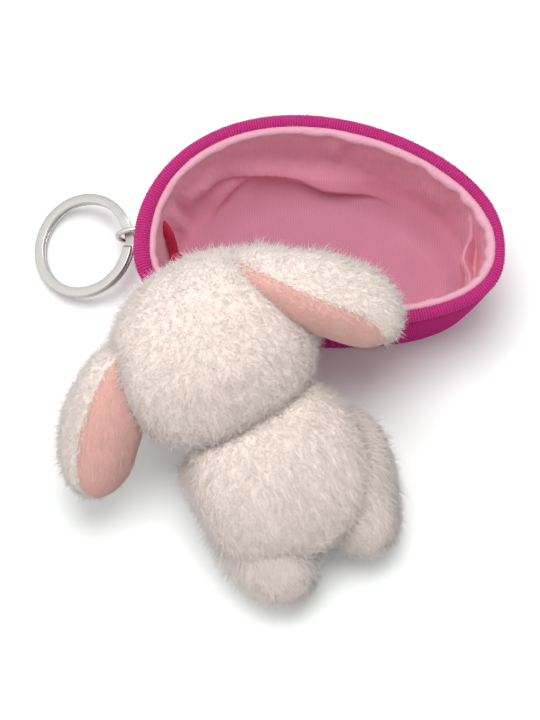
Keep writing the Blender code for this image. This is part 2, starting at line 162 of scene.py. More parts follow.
def skinRings(bm, rings, firstCap=True, lastCap=True, closed=False):
    for low, high in zip(rings, rings[1:] + rings[:1] * closed):
        for k in range(len(low)):
            n = (k + 1) % len(low)
            bm.faces.new((low[k], low[n], high[n], high[k]))
    if firstCap:
        bm.faces.new(rings[0][::-1])
    if lastCap:
        bm.faces.new(rings[-1])


def rotation(degrees, axis, size=4):
    return Matrix.Rotation(math.radians(degrees), size, axis)


def turnFrom(degrees, centre):
    return (degrees - centre + 180.0) % 360.0 - 180.0


# Camera at the photograph's angle
view = {"target": (-0.012, -0.024, 0.0), "elevation": 72.0, "distance": 0.8, "fieldOfView": 12.0}
camera = linkNew("camera", bpy.data.cameras.new("camera"))
camera.data.sensor_fit = "VERTICAL"
camera.data.angle_y = math.radians(view["fieldOfView"])
camera.data.clip_start = 0.01
rise = math.radians(view["elevation"])
away = Vector((0.0, -math.cos(rise), math.sin(rise)))
camera.location = Vector(view["target"]) + view["distance"] * away
camera.rotation_euler = away.to_track_quat("Z", "Y").to_euler()
scene.camera = camera
print("camera placed")


# Cords: strands twisted round a smooth line through the frame's own route points
def smoothLine(points, spacing):
    knots = [Vector(p) for p in points]
    knots = [2.0 * knots[0] - knots[1], *knots, 2.0 * knots[-1] - knots[-2]]
    line = []
    for a, b, c, d in zip(knots, knots[1:], knots[2:], knots[3:]):
        count = max(2, round((c - b).length / spacing))
        for k in range(count):
            t = k / count
            bend = (2.0 * a - 5.0 * b + 4.0 * c - d) * t * t
            swerve = (3.0 * b - a - 3.0 * c + d) * t ** 3
            line.append(0.5 * (2.0 * b + (c - a) * t + bend + swerve))
    return line + [knots[-2]]


def sweptFrames(line):
    side = (line[1] - line[0]).orthogonal().normalized()
    frames, run = [], 0.0
    for k, point in enumerate(line):
        ahead = (line[min(k + 1, len(line) - 1)] - line[max(k - 1, 0)]).normalized()
        side = (side - ahead * side.dot(ahead)).normalized()
        run += (point - line[k - 1]).length if k else 0.0
        frames.append((point, side, ahead.cross(side), run))
    return frames


def twistedCord(name, lines, settings):
    bm = bmesh.new()
    strands, sides = settings["strands"], settings["sides"]
    offset = settings["diameter"] / 2 * settings["spread"]
    radius = settings["diameter"] / 2 - offset
    runs = bm.verts.layers.float.new("run")
    for line, strand in itertools.product(lines, range(strands)):
        rings = []
        for point, side, up, run in sweptFrames(line):
            turn = 2.0 * math.pi * (run / settings["pitch"] + strand / strands)
            out1 = math.cos(turn) * side + math.sin(turn) * up
            out2 = -math.sin(turn) * side + math.cos(turn) * up
            ring = []
            for k in range(sides):
                angle = 2.0 * math.pi * k / sides
                flank = math.cos(angle) * out1 + settings["flat"] * math.sin(angle) * out2
                vert = bm.verts.new(point + offset * out1 + radius * flank)
                vert[runs] = run / settings["pitch"] * settings["plies"] + k / sides
                ring.append(vert)
            rings.append(ring)
        skinRings(bm, rings)
    bmesh.ops.recalc_face_normals(bm, faces=bm.faces)
    return linkNew(name, meshFrom(bm, name))


tether = {
    "route": [
        (-0.03920, 0.00180, 0.02520), (-0.03700, 0.00100, 0.02410), (-0.03535, -0.00070, 0.02220),
        (-0.03450, -0.00260, 0.01960), (-0.03400, -0.00450, 0.01780), (-0.03370, -0.00640, 0.01770),
        (-0.03360, -0.00780, 0.01920), (-0.03350, -0.00830, 0.02160), (-0.03339, -0.00825, 0.02442),
        (-0.03323, -0.00860, 0.02739), (-0.03277, -0.00967, 0.02978), (-0.03199, -0.01145, 0.03160),
        (-0.03090, -0.01394, 0.03284),
    ],
    "step": 0.0003, "still": (-0.0330, -0.0090, 0.0225), "turned": (-0.0330, -0.0090, 0.0325),
    "diameter": 0.0024, "strands": 4, "sides": 10, "spread": 0.46, "flat": 1.25, "pitch": 0.0085,
    "plies": 9.0,
}
tetherLine = smoothLine(tether["route"], tether["step"])
tetherCord = twistedCord("tether_twisted_cord", [tetherLine], tether)
loop = {
    "route": [
        (-0.03712, 0.00021, 0.0101), (-0.03932, 0.00021, 0.0101), (-0.04104, 0.00149, 0.0101),
        (-0.04197, 0.00361, 0.0101), (-0.04150, 0.00587, 0.0101), (-0.03681, 0.00701, 0.0101),
        (-0.03461, 0.00701, 0.0101),
    ],
    "step": 0.0003, "diameter": 0.0017, "strands": 3, "sides": 8, "spread": 0.46, "flat": 1.2,
    "pitch": 0.006, "plies": 8.0,
}
loopCord = twistedCord("hanging_loop_cord", [smoothLine(loop["route"], loop["step"])], loop)
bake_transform(tetherCord)
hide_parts("tether_cord")
settle(loopCord, "pouch", "velour_magenta", "hanging_loop")


# Shader groups, each used by several finishes
def newGroup(name, inputs, outputs):
    tree = bpy.data.node_groups.new(name, "ShaderNodeTree")
    for label, kind, value in inputs:
        socket = tree.interface.new_socket(label, in_out="INPUT", socket_type="NodeSocket" + kind)
        socket.default_value = value
    for label, kind in outputs:
        tree.interface.new_socket(label, in_out="OUTPUT", socket_type="NodeSocket" + kind)
    return tree, tree.nodes.new("NodeGroupInput"), tree.nodes.new("NodeGroupOutput")


def objectPlace(tree):
    return out(put(tree, "ShaderNodeTexCoord"), "Object")


def mixColour(tree, share, a, b):
    node = put(tree, "ShaderNodeMix", {"Factor": share, "A": a, "B": b}, data_type="RGBA")
    return next(s for s in node.outputs if s.enabled)


# Fibre colour from root to tip, the darker root being painted shade among the fibres; each fibre its own
# tone, with broad warm patches
fibreTint, ins, outs = newGroup(
    "fibreTint",
    [("Shaded Root", "Color", (0.5, 0.5, 0.5, 1.0)), ("Tip", "Color", (0.8, 0.8, 0.8, 1.0)),
     ("Spread", "Float", 0.15), ("Patch Scale", "Float", 150.0), ("Patch", "Color", (0.8, 0.7, 0.6, 1.0))],
    [("Color", "Color")],
)
along = out(put(fibreTint, "ShaderNodeAttribute", attribute_name="along"), "Fac")
shade = out(put(fibreTint, "ShaderNodeAttribute", attribute_name="shade"), "Fac")
patches = noiseIn(fibreTint, objectPlace(fibreTint), out(ins, "Patch Scale"), 3.0)
patchShare = out(put(fibreTint, "ShaderNodeMapRange", {
    "Value": patches, "From Min": 0.42, "From Max": 0.72,
}))
tipColour = mixColour(fibreTint, patchShare, out(ins, "Tip"), out(ins, "Patch"))
# Blend from the root colour to the tip colour: the darker root is painted shade where fibres shadow each
# other
climb = math2(fibreTint, "POWER", along, 0.7)
fibreColour = mixColour(fibreTint, climb, out(ins, "Shaded Root"), tipColour)
plus, minus, times = sums(fibreTint)
gain = plus(times(minus(shade, 0.5), out(ins, "Spread")), 1.0)
give(fibreTint, outs, Color=vector2(fibreTint, "SCALE", fibreColour, scale=gain))

# Fine nap of velour: soft mottled colour and a low bump
napCloth, ins, outs = newGroup(
    "napCloth",
    [("Color", "Color", (0.5, 0.5, 0.5, 1.0)), ("Nap Scale", "Float", 2500.0),
     ("Mottle Scale", "Float", 220.0), ("Mottle", "Float", 0.2)],
    [("Color", "Color"), ("Height", "Float")],
)
plus, minus, times = sums(napCloth)
place = objectPlace(napCloth)
fine = noiseIn(napCloth, place, out(ins, "Nap Scale"), 3.0)
broad = noiseIn(napCloth, place, out(ins, "Mottle Scale"), 4.0)
mixed = plus(times(fine, 0.6), times(broad, 0.4))
swing = times(minus(mixed, 0.5), out(ins, "Mottle"))
gain = plus(times(swing, 2.0), 1.0)
give(napCloth, outs, Color=vector2(napCloth, "SCALE", out(ins, "Color"), scale=gain), Height=fine)

# Ribbed cloth: pale ridges and dark valleys over the nap, the dark valleys being painted shade in the rib
# grooves
ribbedCloth, ins, outs = newGroup(
    "ribbedCloth",
    [("Rib", "Float", 0.5), ("Ridge", "Color", (0.5, 0.5, 0.5, 1.0)),
     ("Shaded Valley", "Color", (0.2, 0.2, 0.2, 1.0)), ("Nap Scale", "Float", 3000.0),
     ("Mottle Scale", "Float", 260.0), ("Mottle", "Float", 0.2)],
    [("Color", "Color"), ("Height", "Float")],
)
ribs = out(ins, "Rib")
# Colour mix from valley to ridge: the valley colour is painted shade
ribColour = mixColour(ribbedCloth, ribs, out(ins, "Shaded Valley"), out(ins, "Ridge"))
nap = put(ribbedCloth, "ShaderNodeGroup", node_tree=napCloth)
for label in ("Nap Scale", "Mottle Scale", "Mottle"):
    ribbedCloth.links.new(out(ins, label), nap.inputs[label])
ribbedCloth.links.new(ribColour, nap.inputs["Color"])
plus, minus, times = sums(ribbedCloth)
relief = plus(times(ribs, 0.7), times(out(nap, "Height"), 0.3))
give(ribbedCloth, outs, Color=out(nap, "Color"), Height=relief)

# Twisted yarn: fine plies along each strand from the "run" attribute, the dark colour between the plies
# being painted shade
yarnTwist, ins, outs = newGroup(
    "yarnTwist",
    [("Pale", "Color", (0.5, 0.1, 0.1, 1.0)), ("Groove Shade", "Color", (0.2, 0.0, 0.0, 1.0))],
    [("Color", "Color"), ("Height", "Float")],
)
run = out(put(yarnTwist, "ShaderNodeAttribute", attribute_name="run"), "Fac")
plus, minus, times = sums(yarnTwist)
ply = math2(yarnTwist, "ABSOLUTE", math2(yarnTwist, "SINE", times(run, 2.0 * math.pi)))
fray = noiseIn(yarnTwist, objectPlace(yarnTwist), 2600.0, 2.0)
plyShare = times(plus(ply, fray), 0.6, clamp=True)
yarnColour = mixColour(yarnTwist, plyShare, out(ins, "Groove Shade"), out(ins, "Pale"))
give(yarnTwist, outs, Color=yarnColour, Height=plyShare)

# Brushed metal: long fine lines along the "runs" attribute, with a few soft smudges
brushedMetal, ins, outs = newGroup(
    "brushedMetal",
    [("Base", "Color", (0.5, 0.5, 0.5, 1.0)), ("Lines", "Float", 0.1), ("Roughness", "Float", 0.3)],
    [("Color", "Color"), ("Roughness", "Float"), ("Height", "Float")],
)
runs = out(put(brushedMetal, "ShaderNodeAttribute", attribute_name="runs"), "Vector")
drawn = vector2(brushedMetal, "MULTIPLY", runs, (250.0, 9000.0, 9000.0))
lines = noiseIn(brushedMetal, drawn, 1.0, 3.0)
smudge = noiseIn(brushedMetal, objectPlace(brushedMetal), 420.0, 3.0)
plus, minus, times = sums(brushedMetal)
lineSwing = times(minus(lines, 0.5), out(ins, "Lines"))
metalGain = plus(1.0, times(lineSwing, 2.0))
metalTone = vector2(brushedMetal, "SCALE", out(ins, "Base"), scale=metalGain)
roughMore = times(minus(smudge, 0.5), 0.3)
roughAll = plus(plus(out(ins, "Roughness"), roughMore), lineSwing)
give(brushedMetal, outs, Color=metalTone, Roughness=roughAll, Height=lines)


def sewnRibs(tree):
    return out(put(tree, "ShaderNodeAttribute", attribute_name="rib"), "Fac")


# Lining rib share: painted shade in the wale grooves, plus painted shade that keeps the floor darker than
# the walls
walesAndFloorShade = {"across": (1.0, 0.10, 0.0), "pitch": 0.00056, "floor": 0.0045, "wall": 0.0100, "share": 0.30}


def floorWalesAndShade(tree):
    plus, minus, times = sums(tree)
    slant = out(put(tree, "ShaderNodeVectorMath", {
        0: objectPlace(tree), 1: walesAndFloorShade["across"],
    }, operation="DOT_PRODUCT"), "Value")
    wale = math2(tree, "ABSOLUTE", math2(tree, "SINE", times(slant, math.pi / walesAndFloorShade["pitch"])))
    height = out(put(tree, "ShaderNodeSeparateXYZ", {"Vector": objectPlace(tree)}), "Z")
    # Painted shade: full on the floor, fading out between the floor height and the wall height
    floorShadeRamp = put(tree, "ShaderNodeMapRange", {
        "Value": height, "From Min": walesAndFloorShade["floor"], "From Max": walesAndFloorShade["wall"],
    }, interpolation_type="SMOOTHSTEP")
    return plus(times(wale, walesAndFloorShade["share"]), times(out(floorShadeRamp), 1.0 - walesAndFloorShade["share"]))


def finish(name, group, looks):
    mat = bpy.data.materials.new(name)
    mat.use_nodes = True
    tree = mat.node_tree
    shader = tree.nodes["Principled BSDF"]
    weight, spread, tint = looks.get("sheen", (0.0, 0.5, (1.0, 1.0, 1.0)))
    surface = {
        "Roughness": looks.get("roughness", 0.9), "Metallic": looks.get("metallic", 0.0),
        "Specular IOR Level": looks["specular"], "Sheen Weight": weight, "Sheen Roughness": spread,
        "Sheen Tint": tint,
    }
    pattern = put(tree, "ShaderNodeGroup", node_tree=group)
    for node, values in ((shader, surface), (pattern, looks["pattern"])):
        for key, value in values.items():
            node.inputs[key].default_value = (*value, 1.0) if isinstance(value, tuple) else value
    if "ribFrom" in looks:
        tree.links.new(looks["ribFrom"](tree), pattern.inputs["Rib"])
    tree.links.new(out(pattern, "Color"), shader.inputs["Base Color"])
    if "Roughness" in pattern.outputs:
        tree.links.new(out(pattern, "Roughness"), shader.inputs["Roughness"])
    if "bump" in looks:
        bump = put(tree, "ShaderNodeBump", {
            "Strength": looks["bump"], "Distance": looks["lift"], "Height": out(pattern, "Height"),
        })
        tree.links.new(out(bump), shader.inputs["Normal"])
    return mat


# Fibre finishes: each root colour is darker than its tip colour, as painted shade at the fibre roots
furMaterial = finish("curlyFur", fibreTint, {
    "roughness": 0.9, "specular": 0.06, "sheen": (0.35, 0.5, (1.0, 0.96, 0.93)),
    "pattern": {
        "Shaded Root": (0.915, 0.79, 0.72), "Tip": (0.96, 0.89, 0.85), "Spread": 0.04,
        "Patch Scale": 130.0, "Patch": (0.95, 0.86, 0.805),
    },
})
earPileMaterial = finish("earPile", fibreTint, {
    "roughness": 0.8, "specular": 0.12, "sheen": (0.3, 0.4, (1.0, 0.88, 0.84)),
    "pattern": {
        "Shaded Root": (0.91, 0.51, 0.445), "Tip": (0.965, 0.66, 0.605), "Spread": 0.22,
        "Patch Scale": 190.0, "Patch": (0.925, 0.57, 0.515),
    },
})
fuzzMaterial = finish("magentaFuzz", fibreTint, {
    "roughness": 0.8, "specular": 0.1, "sheen": (0.4, 0.4, (1.0, 0.6, 0.85)),
    "pattern": {
        "Shaded Root": (0.56, 0.020, 0.21), "Tip": (0.82, 0.22, 0.48), "Spread": 0.2,
        "Patch Scale": 200.0, "Patch": (0.70, 0.08, 0.36),
    },
})
hemFuzzMaterial = finish("hemFuzz", fibreTint, {
    "roughness": 0.85, "specular": 0.1, "sheen": (0.3, 0.5, (1.0, 0.85, 0.9)),
    "pattern": {
        "Shaded Root": (0.80, 0.42, 0.52), "Tip": (0.90, 0.62, 0.70), "Spread": 0.12,
        "Patch Scale": 300.0, "Patch": (0.84, 0.52, 0.60),
    },
})
hideMaterial = finish("furBacking", napCloth, {
    "roughness": 0.9, "specular": 0.1, "bump": 0.3, "lift": 0.0002, "sheen": (0.2, 0.5, (1.0, 0.95, 0.9)),
    "pattern": {"Color": (0.94, 0.81, 0.73), "Nap Scale": 2600.0, "Mottle Scale": 300.0, "Mottle": 0.12},
})
earClothMaterial = finish("earVelour", napCloth, {
    "roughness": 0.85, "specular": 0.12, "bump": 0.4, "lift": 0.0002,
    "sheen": (0.3, 0.4, (1.0, 0.88, 0.84)),
    "pattern": {"Color": (0.90, 0.51, 0.44), "Nap Scale": 2800.0, "Mottle Scale": 300.0, "Mottle": 0.16},
})
hemMaterial = finish("hemVelour", napCloth, {
    "roughness": 0.9, "specular": 0.1, "bump": 0.4, "lift": 0.0002, "sheen": (0.3, 0.5, (1.0, 0.85, 0.9)),
    "pattern": {"Color": (0.80, 0.41, 0.51), "Nap Scale": 2600.0, "Mottle Scale": 500.0, "Mottle": 0.16},
})
# Rim and wall: the valley colour, darker than the ridge colour, is painted shade in the rib grooves
rimMaterial = finish("ribbedRim", ribbedCloth, {
    "ribFrom": sewnRibs, "roughness": 0.8, "specular": 0.12, "bump": 0.5, "lift": 0.0002,
    "sheen": (0.35, 0.3, (1.0, 0.5, 0.8)),
    "pattern": {
        "Ridge": (0.57, 0.034, 0.225), "Shaded Valley": (0.33, 0.010, 0.12), "Nap Scale": 4200.0,
        "Mottle Scale": 300.0, "Mottle": 0.22,
    },
})
wallMaterial = finish("magentaVelour", ribbedCloth, {
    "ribFrom": sewnRibs, "roughness": 0.85, "specular": 0.1, "bump": 0.5, "lift": 0.00015,
    "sheen": (0.08, 0.3, (1.0, 0.35, 0.7)),
    "pattern": {
        "Ridge": (0.54, 0.010, 0.20), "Shaded Valley": (0.27, 0.005, 0.09), "Nap Scale": 4200.0,
        "Mottle Scale": 220.0, "Mottle": 0.22,
    },
})
# Lining: the valley colour is painted shade, in the wale grooves and over the whole floor
liningMaterial = finish("pinkLining", ribbedCloth, {
    "ribFrom": floorWalesAndShade, "roughness": 0.9, "specular": 0.1, "bump": 0.25, "lift": 0.00015,
    "sheen": (0.2, 0.5, (1.0, 0.85, 0.9)),
    "pattern": {
        "Ridge": (0.79, 0.34, 0.435), "Shaded Valley": (0.50, 0.205, 0.29), "Nap Scale": 3200.0,
        "Mottle Scale": 180.0, "Mottle": 0.14,
    },
})
# Yarn finishes: each dark colour is painted shade between the plies
yarnMaterial = finish("crimsonYarn", yarnTwist, {
    "roughness": 0.6, "specular": 0.25, "bump": 0.5, "lift": 0.0001, "sheen": (0.3, 0.4, (1.0, 0.4, 0.5)),
    "pattern": {"Pale": (0.52, 0.012, 0.070), "Groove Shade": (0.16, 0.003, 0.020)},
})
loopYarnMaterial = finish("magentaYarn", yarnTwist, {
    "roughness": 0.65, "specular": 0.2, "bump": 0.5, "lift": 0.0001, "sheen": (0.3, 0.4, (1.0, 0.5, 0.8)),
    "pattern": {"Pale": (0.46, 0.014, 0.18), "Groove Shade": (0.18, 0.004, 0.07)},
})
stitchMaterial = finish("brownStitch", yarnTwist, {
    "roughness": 0.5, "specular": 0.3, "bump": 0.4, "lift": 0.00006, "sheen": (0.2, 0.4, (1.0, 0.8, 0.7)),
    "pattern": {"Pale": (0.36, 0.19, 0.16), "Groove Shade": (0.17, 0.08, 0.065)},
})
nickelMaterial = finish("brushedNickel", brushedMetal, {
    "metallic": 1.0, "specular": 0.5, "bump": 0.25, "lift": 0.00002,
    "pattern": {"Base": (0.47, 0.45, 0.428), "Lines": 0.10, "Roughness": 0.30},
})
wireMaterial = finish("nickelWire", brushedMetal, {
    "metallic": 1.0, "specular": 0.5, "bump": 0.15, "lift": 0.00002,
    "pattern": {"Base": (0.58, 0.555, 0.52), "Lines": 0.06, "Roughness": 0.22},
})
tetherCord.data.materials.append(yarnMaterial)
loopCord.data.materials.append(loopYarnMaterial)
print("finishes made")


# Fibres: short tapered strands that lean and curl, grown where the cloth is marked
furTree, ins, outs = newTree("fibres", [
    ("Density", "Float"), ("Length", "Float"), ("Length Spread", "Float"), ("Width", "Float"),
    ("Tilt", "Float"), ("Curl", "Float"), ("Curl Scale", "Float"), ("Bend", "Float"), ("Lean", "Vector"),
    ("Own Normal", "Float"), ("Points", "Int"), ("Seed", "Int"), ("Mark", "String"),
    ("Material", "Material"),
])
add = partial(put, furTree)
ways = partial(vector2, furTree)
plus, minus, times = sums(furTree)
fibre = {"rootSink": 0.12, "sides": 3, "taper": 0.86, "taperPower": 1.6, "turn": 3.1416}


def attributeOf(name, kind):
    return out(add("GeometryNodeInputNamedAttribute", {"Name": name}, data_type=kind), "Attribute")


def keptOn(geometry, name, value, kind):
    return out(add("GeometryNodeStoreNamedAttribute", {
        "Geometry": geometry, "Name": name, "Value": value,
    }, data_type=kind, domain="POINT"))


def randomly(least, most, seedStep, kind):
    seed = plus(out(ins, "Seed"), seedStep) if seedStep else out(ins, "Seed")
    return out(add("FunctionNodeRandomValue", {"Min": least, "Max": most, "Seed": seed}, data_type=kind))


density = times(attributeOf(out(ins, "Mark"), "FLOAT"), out(ins, "Density"))
spots = add("GeometryNodeDistributePointsOnFaces", {
    "Mesh": out(ins, "Geometry"), "Density": density, "Seed": out(ins, "Seed"),
}, distribute_method="RANDOM")
shaded = keptOn(out(spots, "Points"), "shade", randomly(0.0, 1.0, 0.0, "FLOAT"), "FLOAT")
rooted = keptOn(shaded, "rootWay", out(spots, "Normal"), "FLOAT_VECTOR")
bendWay = randomly((-1.0, -1.0, -1.0), (1.0, 1.0, 1.0), 5.0, "FLOAT_VECTOR")
swayed = keptOn(rooted, "bendWay", bendWay, "FLOAT_VECTOR")
tiltMost = out(add("ShaderNodeCombineXYZ", {
    "X": out(ins, "Tilt"), "Y": out(ins, "Tilt"), "Z": fibre["turn"],
}))
tilt = randomly(ways("SCALE", tiltMost, scale=-1.0), tiltMost, 7.0, "FLOAT_VECTOR")
turned = add("FunctionNodeRotateRotation", {
    "Rotation": out(spots, "Rotation"),
    "Rotate By": out(add("FunctionNodeEulerToRotation", {"Euler": tilt})),
}, rotation_space="LOCAL")
line = add("GeometryNodeCurvePrimitiveLine", {
    "Start": (0.0, 0.0, -fibre["rootSink"]), "End": (0.0, 0.0, 1.0),
})
strand = add("GeometryNodeResampleCurve", {"Curve": out(line), "Count": out(ins, "Points")}, mode="COUNT")
spread = out(ins, "Length Spread")
size = times(randomly(minus(1.0, spread), plus(1.0, spread), 3.0, "FLOAT"), out(ins, "Length"))
planted = add("GeometryNodeInstanceOnPoints", {
    "Points": swayed, "Instance": out(strand), "Rotation": out(turned), "Scale": size,
})
loose = add("GeometryNodeRealizeInstances", {"Geometry": out(planted)})
climb = out(add("GeometryNodeSplineParameter"), "Factor")
curlNoise = noiseIn(furTree, out(add("GeometryNodeInputPosition")), out(ins, "Curl Scale"), 2.0, "Color")
curlReach = times(times(climb, out(ins, "Curl")), out(ins, "Length"))
curlStep = ways("SCALE", ways("SUBTRACT", curlNoise, (0.5, 0.5, 0.5)), scale=curlReach)
leanReach = times(times(climb, climb), out(ins, "Length"))
rootWay = attributeOf("rootWay", "FLOAT_VECTOR")
leanOut = out(add("ShaderNodeVectorMath", {
    0: out(ins, "Lean"), 1: rootWay,
}, operation="DOT_PRODUCT"), "Value")
leanFlat = ways("SUBTRACT", out(ins, "Lean"), ways("SCALE", rootWay, scale=leanOut))
leanStep = ways("SCALE", leanFlat, scale=leanReach)
ownBend = attributeOf("bendWay", "FLOAT_VECTOR")
bendStep = ways("SCALE", ownBend, scale=times(leanReach, out(ins, "Bend")))
offset = ways("ADD", ways("ADD", curlStep, leanStep), bendStep)
bent = add("GeometryNodeSetPosition", {"Geometry": out(loose), "Offset": offset})
above = ways("MAXIMUM", out(add("GeometryNodeInputPosition")), (-1.0, -1.0, tableGap))
rested = add("GeometryNodeSetPosition", {"Geometry": out(bent), "Position": above})
tipped = keptOn(out(rested), "along", climb, "FLOAT")
profile = add("GeometryNodeCurvePrimitiveCircle", {"Resolution": fibre["sides"], "Radius": 0.5})
thin = minus(1.0, times(math2(furTree, "POWER", climb, fibre["taperPower"]), fibre["taper"]))
strands = add("GeometryNodeCurveToMesh", {
    "Curve": tipped, "Profile Curve": out(profile), "Scale": times(thin, out(ins, "Width")),
    "Fill Caps": True,
})
grownFur = out(add("GeometryNodeRealizeInstances", {"Geometry": out(strands)}))
ownWay = ways("SCALE", out(add("GeometryNodeInputNormal")), scale=out(ins, "Own Normal"))
clothWay = ways("NORMALIZE", ways("ADD", ownWay, rootWay))
grownFur = out(add("GeometryNodeSetMeshNormal", {
    "Mesh": grownFur, "Custom Normal": clothWay,
}, mode="FREE", domain="POINT"))
for name in ("rootWay", "bendWay"):
    grownFur = out(add("GeometryNodeRemoveAttribute", {"Geometry": grownFur, "Name": name}))
dressed = add("GeometryNodeSetMaterial", {"Geometry": grownFur, "Material": out(ins, "Material")})
furTree.links.new(out(dressed), outs.inputs["Geometry"])


# Stuffed forms: the frame's own solids, filled out, rounded and slightly lumpy
def hullInto(bm, points):
    part = bmesh.new()
    for point in points:
        part.verts.new(point)
    bmesh.ops.convex_hull(part, input=part.verts)
    bmesh.ops.delete(part, geom=[v for v in part.verts if not v.link_faces], context="VERTS")
    bmesh.ops.recalc_face_normals(part, faces=part.faces)
    mesh = meshFrom(part, "hull")
    bm.from_mesh(mesh)
    bpy.data.meshes.remove(mesh)


def cornersOf(node):
    return [v.co.copy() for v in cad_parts[node].data.vertices]


def stuffedForm(name, nodes, settings, reaches=(), near=None, within=1.0, bridges=()):
    points = [co for node in nodes for co in cornersOf(node)]
    moved = [co for co in points if near is None or (co - Vector(near)).length < within]
    points += [co + Vector(reach) for co in moved for reach in reaches]
    bm = bmesh.new()
    for hull in (points, *bridges):
        hullInto(bm, hull)
    corners = np.array([v.co for v in bm.verts])
    obj = linkNew(name, meshFrom(bm, name))
    modifierApplied(
        obj, ("REMESH", {"mode": "VOXEL", "voxel_size": settings["voxel"]}),
        ("SMOOTH", {"factor": 0.5, "iterations": settings["rounds"]}),
    )
    places = np.array([v.co for v in obj.data.vertices])
    low, high = places.min(0), places.max(0)
    scale = (corners.max(0) - corners.min(0)) / (high - low)
    places = corners.min(0) + (places - low) * scale
    for vert, spot in zip(obj.data.vertices, places):
        vert.co = spot
    obj.data.update()
    lumps = [noise.noise(settings["lumpScale"] * v.co) for v in obj.data.vertices]
    normals = [v.normal.copy() for v in obj.data.vertices]
    for vert, way, lump in zip(obj.data.vertices, normals, lumps):
        vert.co += way * (settings["grow"] + settings["lump"] * lump)
        vert.co.z = max(vert.co.z, tableGap)
    obj.data.update()
    return obj


def markFur(obj, name, shares):
    attribute = obj.data.attributes.new(name, "FLOAT", "POINT")
    attribute.data.foreach_set("value", np.array(shares, dtype=np.float32))


def treeOf(obj):
    mesh = obj.data
    return BVHTree.FromPolygons([v.co for v in mesh.vertices], [p.vertices for p in mesh.polygons])


probe = {"way": Vector((0.031, 0.017, 1.0)).normalized(), "mostHits": 20, "step": 1e-6}


def depthIn(tree, place):
    hits, start = 0, place
    while hits < probe["mostHits"]:
        spot = tree.ray_cast(start, probe["way"])[0]
        if spot is None:
            break
        hits += 1
        start = spot + probe["step"] * probe["way"]
    return tree.find_nearest(place)[3] if hits % 2 else 0.0


plush = {
    "bridges": [
        {"node": "leg_left_skin", "share": 0.70, "pull": 0.009, "reach": 0.017, "taper": 0.34},
        {"node": "leg_right_skin", "share": 0.70, "pull": 0.009, "reach": 0.015, "taper": 0.34},
        {"node": "head_skin", "share": 0.14, "pull": 0.008, "reach": 0.0, "taper": 0.02},
    ],
    "tuftNear": 0.0026, "buried": 0.0008, "stitchClear": 0.0011, "edgeLap": 0.0005, "fill": 0.8,
    "firstSeed": 20,
    "soft": {"voxel": 0.0007, "rounds": 24, "grow": 0.0004, "lump": 0.0005, "lumpScale": 110.0},
    "under": {
        "Density": 4.2e6, "Length": 0.0015, "Length Spread": 0.35, "Width": 0.00020, "Tilt": 0.65,
        "Curl": 1.0, "Curl Scale": 600.0, "Bend": 0.4, "Own Normal": 0.35, "Points": 2,
        "Mark": "furry", "Material": furMaterial,
    },
    "over": {
        "Density": 3.15e6, "Length": 0.0021, "Length Spread": 0.35, "Width": 0.000125, "Tilt": 0.75,
        "Curl": 2.2, "Curl Scale": 500.0, "Bend": 0.7, "Own Normal": 0.4, "Points": 3,
        "Mark": "furry", "Material": furMaterial,
    },
    "tufts": {
        "Density": 2.6e6, "Length": 0.0024, "Length Spread": 0.30, "Width": 0.00011, "Tilt": 0.75,
        "Curl": 2.0, "Curl Scale": 450.0, "Bend": 0.7, "Own Normal": 0.4, "Points": 4,
        "Mark": "tufty", "Material": furMaterial,
    },
    "pile": {
        "Density": 11e6, "Length": 0.0008, "Length Spread": 0.3, "Width": 0.00014, "Tilt": 0.35,
        "Curl": 0.7, "Curl Scale": 700.0, "Own Normal": 0.25, "Points": 2, "Seed": 60,
        "Mark": "napped", "Material": earPileMaterial,
    },
    "lay": {
        "head": (0.0, -0.12, -0.15), "body": (0.18, -0.38, -0.15),
        "leg_left": (0.40, -0.70, -0.20), "leg_right": (0.25, -0.65, -0.20),
        "arm_left": (-0.4, -0.4, -0.4), "arm_right": (0.4, 0.2, -0.4),
        "ear_left": (-0.1, -0.2, -0.2), "ear_right": (0.3, -0.10, -0.1),
    },
    "legReach": {
        "leg_left": [(-0.0042, 0.0068, 0.0030), (-0.0022, 0.0008, 0.0)],
        "leg_right": [(-0.0015, 0.0073, 0.0030)],
    },
    "crotch": {"place": (0.0027, -0.0733, 0.0080), "reach": 0.0085, "push": 0.0032},
    "earSinkReach": 0.010, "earTipFrom": 0.6, "earRootTo": 0.4,
    "earEdge": {"ear_left": (0.0016, 0.0010, 0.0), "ear_right": (0.0008, 0.0040, -0.0018)},
    "earWays": {"ear_left": (-0.17, -0.69, -0.70), "ear_right": (0.92, -0.245, -0.305)},
    "earSink": {"ear_left": (0.004, 0.001, -0.001), "ear_right": (-0.005, 0.002, -0.0025)},
    "earRoots": {"ear_left": (-0.04616, -0.03761, 0.03940), "ear_right": (-0.01423, -0.02072, 0.04784)},
}
limbs = ("leg_left", "leg_right", "arm_left", "arm_right")
ears = ("ear_left", "ear_right")
stitches = ("nose", "eye_left", "eye_right")
forms = {"head": stuffedForm("head_plush", ["head_skin"], plush["soft"])}
bodyCorners = cornersOf("body_skin")
middle = sum(bodyCorners, Vector()) / len(bodyCorners)
bridges = []
for bridge in plush["bridges"]:
    far = cornersOf(bridge["node"])
    far.sort(key=lambda co: (co - middle).length)
    core = sum(far, Vector()) / len(far)
    hip = far[:int(bridge["share"] * len(far))]
    centre = sum(hip, Vector()) / len(hip)
    hip = [core + (1.0 - bridge["taper"] * k / len(hip)) * (co - core) for k, co in enumerate(hip)]
    near = [co for co in bodyCorners if (co - centre).length < bridge["reach"]]
    inward = bridge["pull"] * (middle - centre).normalized()
    bridges.append(hip + [co + inward for co in hip] + near)
forms["body"] = stuffedForm("body_plush", ["body_skin"], plush["soft"], bridges=bridges)
